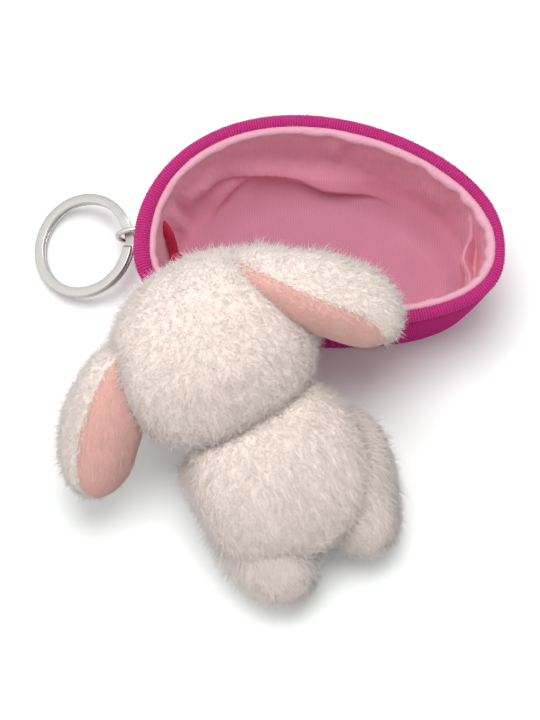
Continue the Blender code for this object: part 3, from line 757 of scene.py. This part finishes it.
for limb in limbs:
    reaches = plush["legReach"].get(limb, ())
    forms[limb] = stuffedForm(limb + "_plush", [limb + "_skin"], plush["soft"], reaches)
for ear in ears:
    forms[ear] = stuffedForm(
        ear + "_plush", [ear + "_outer", ear + "_lining"], plush["soft"], [plush["earSink"][ear]],
        plush["earRoots"][ear], plush["earSinkReach"],
    )
for vert in forms["body"].data.vertices:
    far = (vert.co - Vector(plush["crotch"]["place"])).length / plush["crotch"]["reach"]
    vert.co += plush["crotch"]["push"] * math.exp(-far * far) * (middle - vert.co).normalized()
forms["body"].data.update()
solids = {name: treeOf(obj) for name, obj in forms.items()}
stitchTrees = [treeOf(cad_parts[name]) for name in stitches]
hiddenBy = {
    "head": ("body", *ears), "body": ("head", *limbs),
    **{ear: ("head",) for ear in ears}, **{limb: ("body",) for limb in limbs},
}
for name, obj in forms.items():
    obj.data.materials.append(hideMaterial)
    shares, tufts = [], []
    for vert in obj.data.vertices:
        buried = max(depthIn(solids[other], vert.co) for other in hiddenBy[name])
        share = 0.0 if buried > plush["buried"] else 1.0
        near = min(solids[other].find_nearest(vert.co)[3] for other in hiddenBy[name])
        tufts.append(share * (near < plush["tuftNear"]))
        if name == "head":
            share *= min(tree.find_nearest(vert.co)[3] for tree in stitchTrees) >= plush["stitchClear"]
        shares.append(share)
    if name in ears:
        outerPanel = treeOf(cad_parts[f"{name}_outer"])
        liningPanel = treeOf(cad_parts[f"{name}_lining"])
        places = [v.co for v in obj.data.vertices]
        edge = [liningPanel.find_nearest(co)[3] - outerPanel.find_nearest(co)[3] for co in places]
        root, way = Vector(plush["earRoots"][name]), Vector(plush["earWays"][name]).normalized()
        runs = [(co - root).dot(way) for co in places]
        bias, tipBias, rootBias = plush["earEdge"][name]
        tipFrom, longest = plush["earTipFrom"], max(runs)
        tips = [max(0.0, (run / longest - tipFrom) / (1.0 - tipFrom)) for run in runs]
        starts = [max(0.0, 1.0 - run / longest / plush["earRootTo"]) for run in runs]
        biases = [bias + tipBias * tip * tip + rootBias * start for tip, start in zip(tips, starts)]
        edge = [far + more for far, more in zip(edge, biases)]
        inner = [far < 0.0 for far in edge]
        markFur(obj, "napped", [share * pink for share, pink in zip(shares, inner)])
        shares = [share * (far > -plush["edgeLap"]) for share, far in zip(shares, edge)]
        obj.data.materials.append(earClothMaterial)
        for face in obj.data.polygons:
            face.material_index = int(sum(inner[v] for v in face.vertices) * 2 > len(face.vertices))
    markFur(obj, "furry", shares)
    markFur(obj, "tufty", [tuft * share for tuft, share in zip(tufts, shares)])
print("stuffed forms made")

for seed, (name, obj) in enumerate(forms.items()):
    for turn, layer in enumerate(("under", "over", "tufts")):
        draw = plush["firstSeed"] + 3 * seed + turn
        settings = {**plush[layer], "Lean": plush["lay"][name], "Seed": draw}
        settle(grown(obj, furTree, settings, f"{name}_fur_{layer}"), name, "fur_white")
    panels = ("outer", "lining") if name in ears else ("skin",)
    settle(obj, name, "fur_white", *(f"{name}_{part}" for part in (*panels, "filling")))
for ear in ears:
    settings = {**plush["pile"], "Lean": plush["earWays"][ear]}
    settle(grown(forms[ear], furTree, settings, f"{ear}_pile"), ear, "ear_pink")
print("fur grown")


# Pouch: its mouth's oval, the rim's height and any point of a wall, as in the frame
pouch = {
    "left": 0.0428, "right": 0.0418, "back": 0.0315, "front": 0.0193, "line": -0.0060, "skew": 0.16,
    "squareness": 2.6, "height": 0.0300, "flare": 0.25, "baseShare": 0.84, "baseTuck": 0.075,
    "baseShift": 0.0025, "baseRound": 0.0060, "dip": 0.0112, "dipCentre": 243.0, "dipSpread": 28.18,
    "rimDepth": 0.00133, "rimWidth": 0.0030, "liningDepth": 0.0042, "cloth": 0.0006, "seam": 243.0,
    "rimSwell": 1.08, "rimSwells": [(2.0, 18.0, -0.28), (180.0, 25.0, 0.27), (305.0, 35.0, -0.18)],
}


def mouth(angle, depth):
    c, s = math.cos(angle), math.sin(angle)
    half = pouch["right" if c >= 0.0 else "left"] - depth
    if s >= 0.0:
        return half * c, (pouch["back"] - depth) * s * (1.0 - pouch["skew"] * c)
    power = 2.0 / pouch["squareness"]
    return half * math.copysign(abs(c) ** power, c), -(pouch["front"] - depth) * abs(s) ** power


def rimHeight(angle):
    offset = (math.degrees(angle) % 360.0 - pouch["dipCentre"]) / pouch["dipSpread"]
    return pouch["height"] - pouch["dip"] * math.exp(-offset * offset)


def rimSwell(angle):
    swell = pouch["rimSwell"]
    for centre, spread, more in pouch["rimSwells"]:
        offset = turnFrom(math.degrees(angle), centre) / spread
        swell += more * math.exp(-offset * offset)
    return swell


def pouchPoint(angle, depth, z):
    h = min(max(z / pouch["height"], 0.0), 1.0)
    climbed = h * (1.0 + pouch["flare"] - pouch["flare"] * h)
    x, y = mouth(angle, depth)
    base = pouch["baseShare"] - pouch["baseTuck"] * max(0.0, x / pouch["right"]) ** 2
    share = base + (1.0 - base) * climbed
    return Vector((share * x + pouch["baseShift"] * (1.0 - climbed), pouch["line"] + share * y, z))


def ringGrid(name, columns, rows, placer, mark):
    bm = bmesh.new()
    layer = bm.verts.layers.float.new(mark)
    rings = []
    for r in range(rows):
        ring = []
        for c in range(columns):
            angle = math.radians(pouch["seam"]) + 2.0 * math.pi * c / columns
            point, value = placer(angle % (2.0 * math.pi), r / (rows - 1))
            vert = bm.verts.new(point)
            vert[layer] = value
            ring.append(vert)
        rings.append(ring)
    skinRings(bm, rings, lastCap=False)
    bmesh.ops.recalc_face_normals(bm, faces=bm.faces)
    return linkNew(name, meshFrom(bm, name))


# Outer wall: upright ribs, a tucked-in top under the rim and a sewn line round the base
outerWall = {
    "ribs": 340, "ribDepth": 0.00016, "rows": 26, "cornerTo": 0.25, "rimLap": 0.8, "tuck": 0.0011,
    "tuckHeight": 0.0022, "baseSeam": 0.00035, "seamAt": 0.035, "seamWide": 0.02,
}


def outerPlace(angle, share):
    corner, cornerTo = pouch["baseRound"], outerWall["cornerTo"]
    top = rimHeight(angle) - outerWall["rimLap"] * pouch["rimWidth"]
    rib = abs(math.sin(0.5 * angle * outerWall["ribs"]))
    sunk = outerWall["ribDepth"] * (1.0 - rib)
    if share < cornerTo:
        turn = share / cornerTo * math.pi / 2
        sewn = (share - outerWall["seamAt"]) / outerWall["seamWide"]
        groove = outerWall["baseSeam"] * math.exp(-(sewn ** 2))
        depth = corner * (1.0 - math.sin(turn)) + sunk
        return pouchPoint(angle, depth, corner * (1.0 - math.cos(turn)) + groove), rib
    climbed = (share - cornerTo) / (1.0 - cornerTo)
    z = corner + (top - corner) * climbed
    near = max(0.0, 1.0 - (top - z) / outerWall["tuckHeight"])
    return pouchPoint(angle, sunk + outerWall["tuck"] * near * near, z), rib


wall = ringGrid("pouch_wall", outerWall["ribs"] * 4, outerWall["rows"], outerPlace, "rib")
wall.data.materials.append(wallMaterial)
modifierApplied(wall, ("SOLIDIFY", {"thickness": pouch["cloth"], "offset": -1.0}))
settle(wall, "pouch", "velour_magenta", "pouch_outer", "pouch_wadding")

# Lining: ribbed floor and walls with the folds of loose cloth, rolled over at the hem to meet the rim
lining = {
    "columns": 480, "rows": 98, "floorTo": 0.08, "cornerTo": 0.25, "wallTo": 0.80, "corner": 0.0080,
    "floorFrom": 0.02, "floorLump": 0.0005, "lumpScale": 110.0, "crease": 0.00016, "creaseScale": 30.0,
    "creaseTall": 6.0, "hem": 0.00078, "hemMore": 0.00040, "moreAt": 30.0, "moreWide": 55.0,
    "hemWaves": 0.00036, "wavesLeast": 0.4, "waveScale": 9.0, "waveSlice": 4.0, "hemDrop": 0.0005,
    "hemLap": 0.45, "hemSeat": 0.85, "hemFoot": 0.6, "hemFrom": -45.0, "hemTurn": 205.0,
    "folds": [
        {"angle": 88.0, "high": -0.13, "wide": 17.0, "tall": 0.22, "under": 0.045, "slope": 0.002,
         "push": 0.0042},
        {"angle": 112.0, "high": 0.10, "wide": 15.0, "tall": 0.20, "under": 0.05, "slope": 0.010,
         "push": 0.0022},
        {"angle": 134.0, "high": -0.05, "wide": 12.0, "tall": 0.16, "under": 0.06, "slope": -0.008,
         "push": 0.0015},
        {"angle": 141.0, "high": 0.40, "wide": 9.0, "tall": 0.20, "push": 0.0013},
        {"angle": 80.5, "high": 0.62, "wide": 3.0, "tall": 0.26, "push": -0.0009},
        {"angle": 86.0, "high": 0.60, "wide": 3.2, "tall": 0.24, "push": 0.0006},
        {"angle": 155.0, "high": 0.30, "wide": 2.6, "tall": 0.45, "push": -0.0011},
        {"angle": 161.0, "high": 0.35, "wide": 3.4, "tall": 0.45, "push": 0.0010},
        {"angle": 357.0, "high": 0.78, "wide": 18.0, "tall": 0.08, "under": 0.80, "push": 0.0056},
        {"angle": 12.0, "high": 0.45, "wide": 6.0, "tall": 0.30, "push": -0.0005},
        {"angle": 346.0, "high": 0.05, "wide": 6.0, "tall": 0.25, "push": -0.0010},
        {"angle": 30.0, "high": 0.50, "wide": 5.5, "tall": 0.35, "push": -0.0007},
        {"angle": 44.0, "high": 0.40, "wide": 7.0, "tall": 0.30, "push": 0.0008},
        {"angle": 62.0, "high": 0.55, "wide": 6.0, "tall": 0.30, "push": -0.0005},
    ],
    "tuck": {"angle": 357.0, "high": 0.89, "wide": 18.0, "tall": 0.070, "drop": 0.0085},
}


def folded(degrees, high):
    total = 0.0
    for fold in lining["folds"]:
        off = turnFrom(degrees, fold["angle"])
        up = high - fold["high"] - fold.get("slope", 0.0) * off
        tall = fold["tall"] if up > 0.0 else fold.get("under", fold["tall"])
        total += fold["push"] * math.exp(-((off / fold["wide"]) ** 2) - (up / tall) ** 2)
    return total


def liningPlace(angle, share):
    depth = foot = pouch["liningDepth"]
    corner = lining["corner"]
    degrees = math.degrees(angle)
    around = Vector((math.cos(angle), math.sin(angle), 0.0))
    rightEnd = math.exp(-((turnFrom(degrees, lining["moreAt"]) / lining["moreWide"]) ** 2))
    wave = noise.noise(lining["waveScale"] * around + Vector((0.0, 0.0, lining["waveSlice"])))
    waves = lining["hemWaves"] * (lining["wavesLeast"] + rightEnd) * wave
    hem = lining["hem"] + lining["hemMore"] * rightEnd + waves
    hemHigh = rimHeight(angle) - lining["hemDrop"] - hem
    lap = lining["hemLap"] * rimSwell(angle) * pouch["rimWidth"]
    hemIn = pouch["rimDepth"] + lap + lining["hemSeat"] * hem
    floorTo, cornerTo, wallTo = lining["floorTo"], lining["cornerTo"], lining["wallTo"]
    if share < floorTo:
        edge = pouchPoint(angle, depth + corner, foot)
        centre = Vector((pouch["baseShift"], pouch["line"], foot))
        point = centre.lerp(edge, max(share / floorTo, lining["floorFrom"]))
        lump = lining["floorLump"] * noise.noise(lining["lumpScale"] * point)
        point.z += lump * math.sin(math.pi * share / floorTo)
        return point, 0.0
    if share < cornerTo:
        turn = (share - floorTo) / (cornerTo - floorTo) * math.pi / 2
        high = corner * (1.0 - math.cos(turn))
        inward = corner * (1.0 - math.sin(turn)) + folded(degrees, turn / math.pi - 0.5) * math.sin(turn)
        return pouchPoint(angle, depth + inward, foot + high), 0.0
    if share < wallTo:
        climbed = (share - cornerTo) / (wallTo - cornerTo)
        tuck = lining["tuck"]
        off = turnFrom(degrees, tuck["angle"]) / tuck["wide"]
        up = (climbed - tuck["high"]) / tuck["tall"]
        drop = tuck["drop"] * math.exp(-(off ** 2) - up ** 2)
        z = foot + corner + (hemHigh - lining["hemFoot"] * hem - foot - corner) * climbed - drop
        ripple = lining["creaseScale"] * around + Vector((0.0, 0.0, lining["creaseTall"] * climbed))
        crease = lining["crease"] * noise.noise(ripple)
        return pouchPoint(angle, depth + folded(degrees, climbed) * (1.0 - climbed ** 6) + crease, z), 0.0
    turn = math.radians(lining["hemFrom"] + lining["hemTurn"] * (share - wallTo) / (1.0 - wallTo))
    return pouchPoint(angle, hemIn + hem * math.cos(turn), hemHigh + hem * math.sin(turn)), 1.0


inside = ringGrid("pouch_inside", lining["columns"], lining["rows"], liningPlace, "fuzzy")
for cloth in (liningMaterial, hemMaterial):
    inside.data.materials.append(cloth)
fuzzy = [value.value for value in inside.data.attributes["fuzzy"].data]
for polygon in inside.data.polygons:
    polygon.material_index = int(all(fuzzy[v] > 0.5 for v in polygon.vertices))
shortFuzz = {
    "Length Spread": 0.4, "Tilt": 0.8, "Curl": 1.0, "Curl Scale": 1500.0, "Lean": (0.0, 0.0, 0.0),
    "Own Normal": 1.2, "Points": 2, "Mark": "fuzzy",
}
hemFuzz = grown(inside, furTree, {
    **shortFuzz, "Density": 13e6, "Length": 0.00065, "Width": 0.00010, "Seed": 71,
    "Material": hemFuzzMaterial,
}, "pouch_hem_fuzz")
modifierApplied(inside, ("SOLIDIFY", {"thickness": pouch["cloth"], "offset": -1.0}))
settle(hemFuzz, "pouch", "velour_pink")
settle(inside, "pouch", "velour_pink", "pouch_lining")

# Rim: a round ribbed band along the mouth, with a short fuzz
rimBand = {
    "ribs": 352, "ribDepth": 0.10, "around": 16,
    "fuzz": {
        **shortFuzz, "Density": 7.2e6, "Length": 0.00060, "Width": 0.00009, "Seed": 72,
        "Material": fuzzMaterial,
    },
}
rimTree, ins, outs = newTree("ribbedBand", [
    ("Ribs", "Int"), ("Rib Depth", "Float"), ("Width", "Float"), ("Around", "Int"),
    ("Material", "Material"),
])
plus, minus, times = sums(rimTree)
finePath = put(rimTree, "GeometryNodeResampleCurve", {
    "Curve": out(ins, "Geometry"), "Count": times(out(ins, "Ribs"), 4.0),
}, mode="COUNT")
turnsIn = out(put(rimTree, "GeometryNodeSplineParameter"), "Factor")
phase = times(times(turnsIn, out(ins, "Ribs")), math.pi)
ridge = math2(rimTree, "ABSOLUTE", math2(rimTree, "SINE", phase))
ridged = put(rimTree, "GeometryNodeStoreNamedAttribute", {
    "Geometry": out(finePath), "Name": "rib", "Value": ridge,
}, data_type="FLOAT", domain="POINT")
sunken = times(minus(1.0, ridge), out(ins, "Rib Depth"))
swell = out(put(rimTree, "GeometryNodeInputRadius"))
bandProfile = put(rimTree, "GeometryNodeCurvePrimitiveCircle", {
    "Resolution": out(ins, "Around"), "Radius": times(out(ins, "Width"), 0.5),
})
band = put(rimTree, "GeometryNodeCurveToMesh", {
    "Curve": out(ridged), "Profile Curve": out(bandProfile), "Scale": times(swell, minus(1.0, sunken)),
})
bandReal = put(rimTree, "GeometryNodeRealizeInstances", {"Geometry": out(band)})
bandDressed = put(rimTree, "GeometryNodeSetMaterial", {
    "Geometry": out(bandReal), "Material": out(ins, "Material"),
})
rimTree.links.new(out(bandDressed), outs.inputs["Geometry"])


def closedCurve(name, points, radii):
    curve = bpy.data.curves.new(name, "CURVE")
    curve.dimensions = "3D"
    spline = curve.splines.new("POLY")
    spline.points.add(len(points) - 1)
    spline.use_cyclic_u = True
    for knot, point, radius in zip(spline.points, points, radii):
        knot.co = (*point, 1.0)
        knot.radius = radius
    return linkNew(name, curve)


rimLine, rimSwells = [], []
for step in range(360):
    angle = math.radians(step + pouch["seam"])
    rimSwells.append(rimSwell(angle))
    rimLine.append(pouchPoint(angle, pouch["rimDepth"], rimHeight(angle) - pouch["rimWidth"] / 2))
rimGuide = closedCurve("rim_guide", rimLine, rimSwells)
rim = grown(rimGuide, rimTree, {
    "Ribs": rimBand["ribs"], "Rib Depth": rimBand["ribDepth"], "Width": pouch["rimWidth"],
    "Around": rimBand["around"], "Material": rimMaterial,
}, "pouch_ribbed_rim")
bpy.data.objects.remove(rimGuide)
rim.data.shade_smooth()
markFur(rim, "fuzzy", [1.0] * len(rim.data.vertices))
rimFuzz = grown(rim, furTree, rimBand["fuzz"], "pouch_rim_fuzz")
settle(rimFuzz, "pouch", "velour_magenta")
settle(rim, "pouch", "velour_magenta", "pouch_rim")
print("pouch made")

# Split key ring: one flat band with eased edges, in two turns with a step between them
splitRing = {
    "outer": 0.0250, "width": 0.0022, "thick": 0.0009, "pitch": 0.00136, "ease": 0.00020,
    "centre": (-0.05541, 0.0022, 0.00583), "yaw": 6.0, "tilt": -22.0, "start": -14.0, "turn": 664.0,
    "stepFrom": 324.0, "stepTo": 356.0, "steps": 330, "endRound": 0.86,
}


def bandOutline(w, t, ease, corners=4):
    outline = []
    for x, y, first in ((w, t, 0.0), (-w, t, 90.0), (-w, -t, 180.0), (w, -t, 270.0)):
        for k in range(corners + 1):
            angle = math.radians(first + 90.0 * k / corners)
            centre = (math.copysign(abs(x) - ease, x), math.copysign(abs(y) - ease, y))
            outline.append((centre[0] + ease * math.cos(angle), centre[1] + ease * math.sin(angle)))
    return outline


def sweepBand(name, settings):
    radius = (settings["outer"] - settings["width"]) / 2
    bm = bmesh.new()
    runs = bm.verts.layers.float_vector.new("runs")
    rings = []
    for k in range(settings["steps"] + 1):
        wound = settings["turn"] * k / settings["steps"]
        share = (wound - settings["stepFrom"]) / (settings["stepTo"] - settings["stepFrom"])
        share = min(max(share, 0.0), 1.0)
        height = settings["pitch"] * (0.5 - share * share * (3.0 - 2.0 * share))
        angle = math.radians(settings["start"] - wound)
        endRound = settings["endRound"] if k in (0, settings["steps"]) else 1.0
        ring = []
        for x, y in bandOutline(settings["width"] / 2, settings["thick"] / 2, settings["ease"]):
            reach = radius + endRound * x
            vert = bm.verts.new((reach * math.cos(angle), reach * math.sin(angle), height + endRound * y))
            vert[runs] = (radius * angle, x, y)
            ring.append(vert)
        rings.append(ring)
    skinRings(bm, rings)
    bmesh.ops.recalc_face_normals(bm, faces=bm.faces)
    turn = rotation(settings["yaw"], "Z") @ rotation(settings["tilt"], "Y")
    bm.transform(Matrix.Translation(settings["centre"]) @ turn)
    return linkNew(name, meshFrom(bm, name))


keyRing = sweepBand("split_ring_band", splitRing)
keyRing.data.materials.append(nickelMaterial)
settle(keyRing, "ring", "nickel", "split_ring")

# Link: a closed wire ring whose ends butt together
wireLink = {
    "outer": 0.0088, "wire": 0.0013, "steps": 96, "sides": 18, "butt": 0.00012,
    "place": (-0.04380, 0.00342, 0.0101), "yaw": 6.0, "stand": 90.0, "spin": 70.0,
}


def wireRing(name, settings):
    bm = bmesh.new()
    runs = bm.verts.layers.float_vector.new("runs")
    radius = (settings["outer"] - settings["wire"]) / 2
    rings = []
    for k in range(settings["steps"]):
        angle = 2.0 * math.pi * k / settings["steps"]
        thick = settings["wire"] / 2 - settings["butt"] * (k == 0)
        ring = []
        for s in range(settings["sides"]):
            around = 2.0 * math.pi * s / settings["sides"]
            reach = radius + thick * math.cos(around)
            rise = thick * math.sin(around)
            vert = bm.verts.new((reach * math.cos(angle), reach * math.sin(angle), rise))
            vert[runs] = (radius * angle, 0.5 * settings["wire"] * around, 0.0)
            ring.append(vert)
        rings.append(ring)
    skinRings(bm, rings, firstCap=False, lastCap=False, closed=True)
    bmesh.ops.recalc_face_normals(bm, faces=bm.faces)
    turn = rotation(settings["yaw"], "Z") @ rotation(settings["stand"], "X")
    bm.transform(Matrix.Translation(settings["place"]) @ turn @ rotation(settings["spin"], "Z"))
    return linkNew(name, meshFrom(bm, name))


link = wireRing("ring_link_wire", wireLink)
link.data.materials.append(wireMaterial)
settle(link, "link", "nickel", "ring_link")
print("metal made")

# Face: closed eyes in a roped stitch and a satin-stitched nose
face = {
    "eye_left": [
        (-0.03729, -0.03211, 0.02122), (-0.03592, -0.03195, 0.02053), (-0.03480, -0.03139, 0.02013),
        (-0.03393, -0.03042, 0.02002), (-0.03331, -0.02905, 0.02019),
    ],
    "eye_right": [
        (-0.02423, -0.02338, 0.02019), (-0.02273, -0.02342, 0.02002), (-0.02148, -0.02306, 0.02013),
        (-0.02048, -0.02230, 0.02053), (-0.01973, -0.02114, 0.02122),
    ],
    "eyeThread": {
        "step": 0.00015, "diameter": 0.0008, "strands": 3, "sides": 8, "spread": 0.48, "flat": 1.2,
        "pitch": 0.0022, "plies": 6.0,
    },
    "nose": (-0.02572, -0.03109, 0.01714), "noseHalf": (0.0018, 0.00126, 0.0009), "noseRows": 9,
    "noseFill": 0.93, "nosePoints": 9, "yaw": 32.0, "pitch": 25.0,
    "noseThread": {
        "step": 0.00012, "diameter": 0.00036, "strands": 2, "sides": 6, "spread": 0.45, "flat": 1.2,
        "pitch": 0.0014, "plies": 5.0,
    },
}
thread = face["eyeThread"]
for name in ("eye_left", "eye_right"):
    eye = twistedCord(name + "_stitch", [smoothLine(face[name], thread["step"])], thread)
    eye.data.materials.append(stitchMaterial)
    settle(eye, "head", "thread_brown", name)
headTurn = rotation(face["yaw"], "Z", 3) @ rotation(face["pitch"], "X", 3)
noseLines = []
a, b, c = face["noseHalf"]
for row in range(face["noseRows"]):
    y = b * face["noseFill"] * (2.0 * row / (face["noseRows"] - 1) - 1.0)
    half = a * math.sqrt(1.0 - (y / b) ** 2)
    points = []
    for k in range(face["nosePoints"]):
        x = half * math.sin(math.pi * (k / (face["nosePoints"] - 1) - 0.5))
        z = -c * math.sqrt(max(0.0, 1.0 - (x / a) ** 2 - (y / b) ** 2))
        points.append(Vector(face["nose"]) + headTurn @ Vector((x, y, z)))
    noseLines.append(smoothLine(points, face["noseThread"]["step"]))
nose = twistedCord("nose_stitch", noseLines, face["noseThread"])
nose.data.materials.append(stitchMaterial)
settle(nose, "head", "thread_brown", "nose")
print("face made")

# Floor, backdrop and light
def seenRay(tree):
    path = put(tree, "ShaderNodeLightPath")
    mirrored = math2(tree, "MAXIMUM", out(path, "Is Glossy Ray"), out(path, "Is Transmission Ray"))
    return math2(tree, "MAXIMUM", out(path, "Is Camera Ray"), mirrored)


floorLooks = {
    "matt": (0.85, 0.85, 0.85, 1.0), "seen": (1.02, 1.06, 1.05, 1.0), "half": 1.5, "below": -0.00002,
}
floorMat = bpy.data.materials.new("paleFloor")
floorMat.use_nodes = True
tree = floorMat.node_tree
tree.nodes.clear()
seen = seenRay(tree)
level = mixColour(tree, seen, floorLooks["matt"], floorLooks["seen"])
matt = put(tree, "ShaderNodeBsdfDiffuse", {"Color": level})
tree.links.new(out(matt), put(tree, "ShaderNodeOutputMaterial").inputs["Surface"])
bm = bmesh.new()
bmesh.ops.create_grid(bm, x_segments=1, y_segments=1, size=floorLooks["half"])
bmesh.ops.translate(bm, verts=bm.verts, vec=(0.0, 0.0, floorLooks["below"]))
floor = linkNew("floor", meshFrom(bm, "floor"))
floor.data.materials.append(floorMat)

skyLooks = {"horizon": 1.05, "zenith": 0.20}
world = bpy.data.worlds.new("studio")
scene.world = world
world.use_nodes = True
tree = world.node_tree
tree.nodes.clear()
seen = seenRay(tree)
way = out(put(tree, "ShaderNodeTexCoord"), "Generated")
aim = out(put(tree, "ShaderNodeSeparateXYZ", {"Vector": way}), "Z")
dome = put(tree, "ShaderNodeMapRange", {
    "Value": aim, "From Min": 0.0, "From Max": 1.0, "To Min": skyLooks["horizon"],
    "To Max": skyLooks["zenith"],
})
plus, minus, times = sums(tree)
glow = plus(seen, times(minus(1.0, seen), out(dome)))
sky = put(tree, "ShaderNodeBackground", {"Color": (1.0, 1.0, 1.0, 1.0), "Strength": glow})
tree.links.new(out(sky), put(tree, "ShaderNodeOutputWorld").inputs["Surface"])


def softBox(name, place, aim, size, power):
    light = bpy.data.lights.new(name, "AREA")
    light.shape = "DISK"
    light.size = size
    light.energy = power
    obj = linkNew(name, light)
    obj.location = place
    obj.rotation_euler = (Vector(place) - Vector(aim)).to_track_quat("Z", "Y").to_euler()


lamps = {
    "key": {"place": (-0.04, 0.08, 0.85), "aim": (0.0, -0.02, 0.0), "size": 0.5, "power": 5.0},
    "fill": {"place": (-0.60, -0.10, 0.55), "aim": (0.0, -0.02, 0.0), "size": 0.9, "power": 1.2},
}
for name, lamp in lamps.items():
    softBox(name, **lamp)
scene.view_settings.view_transform = "Standard"
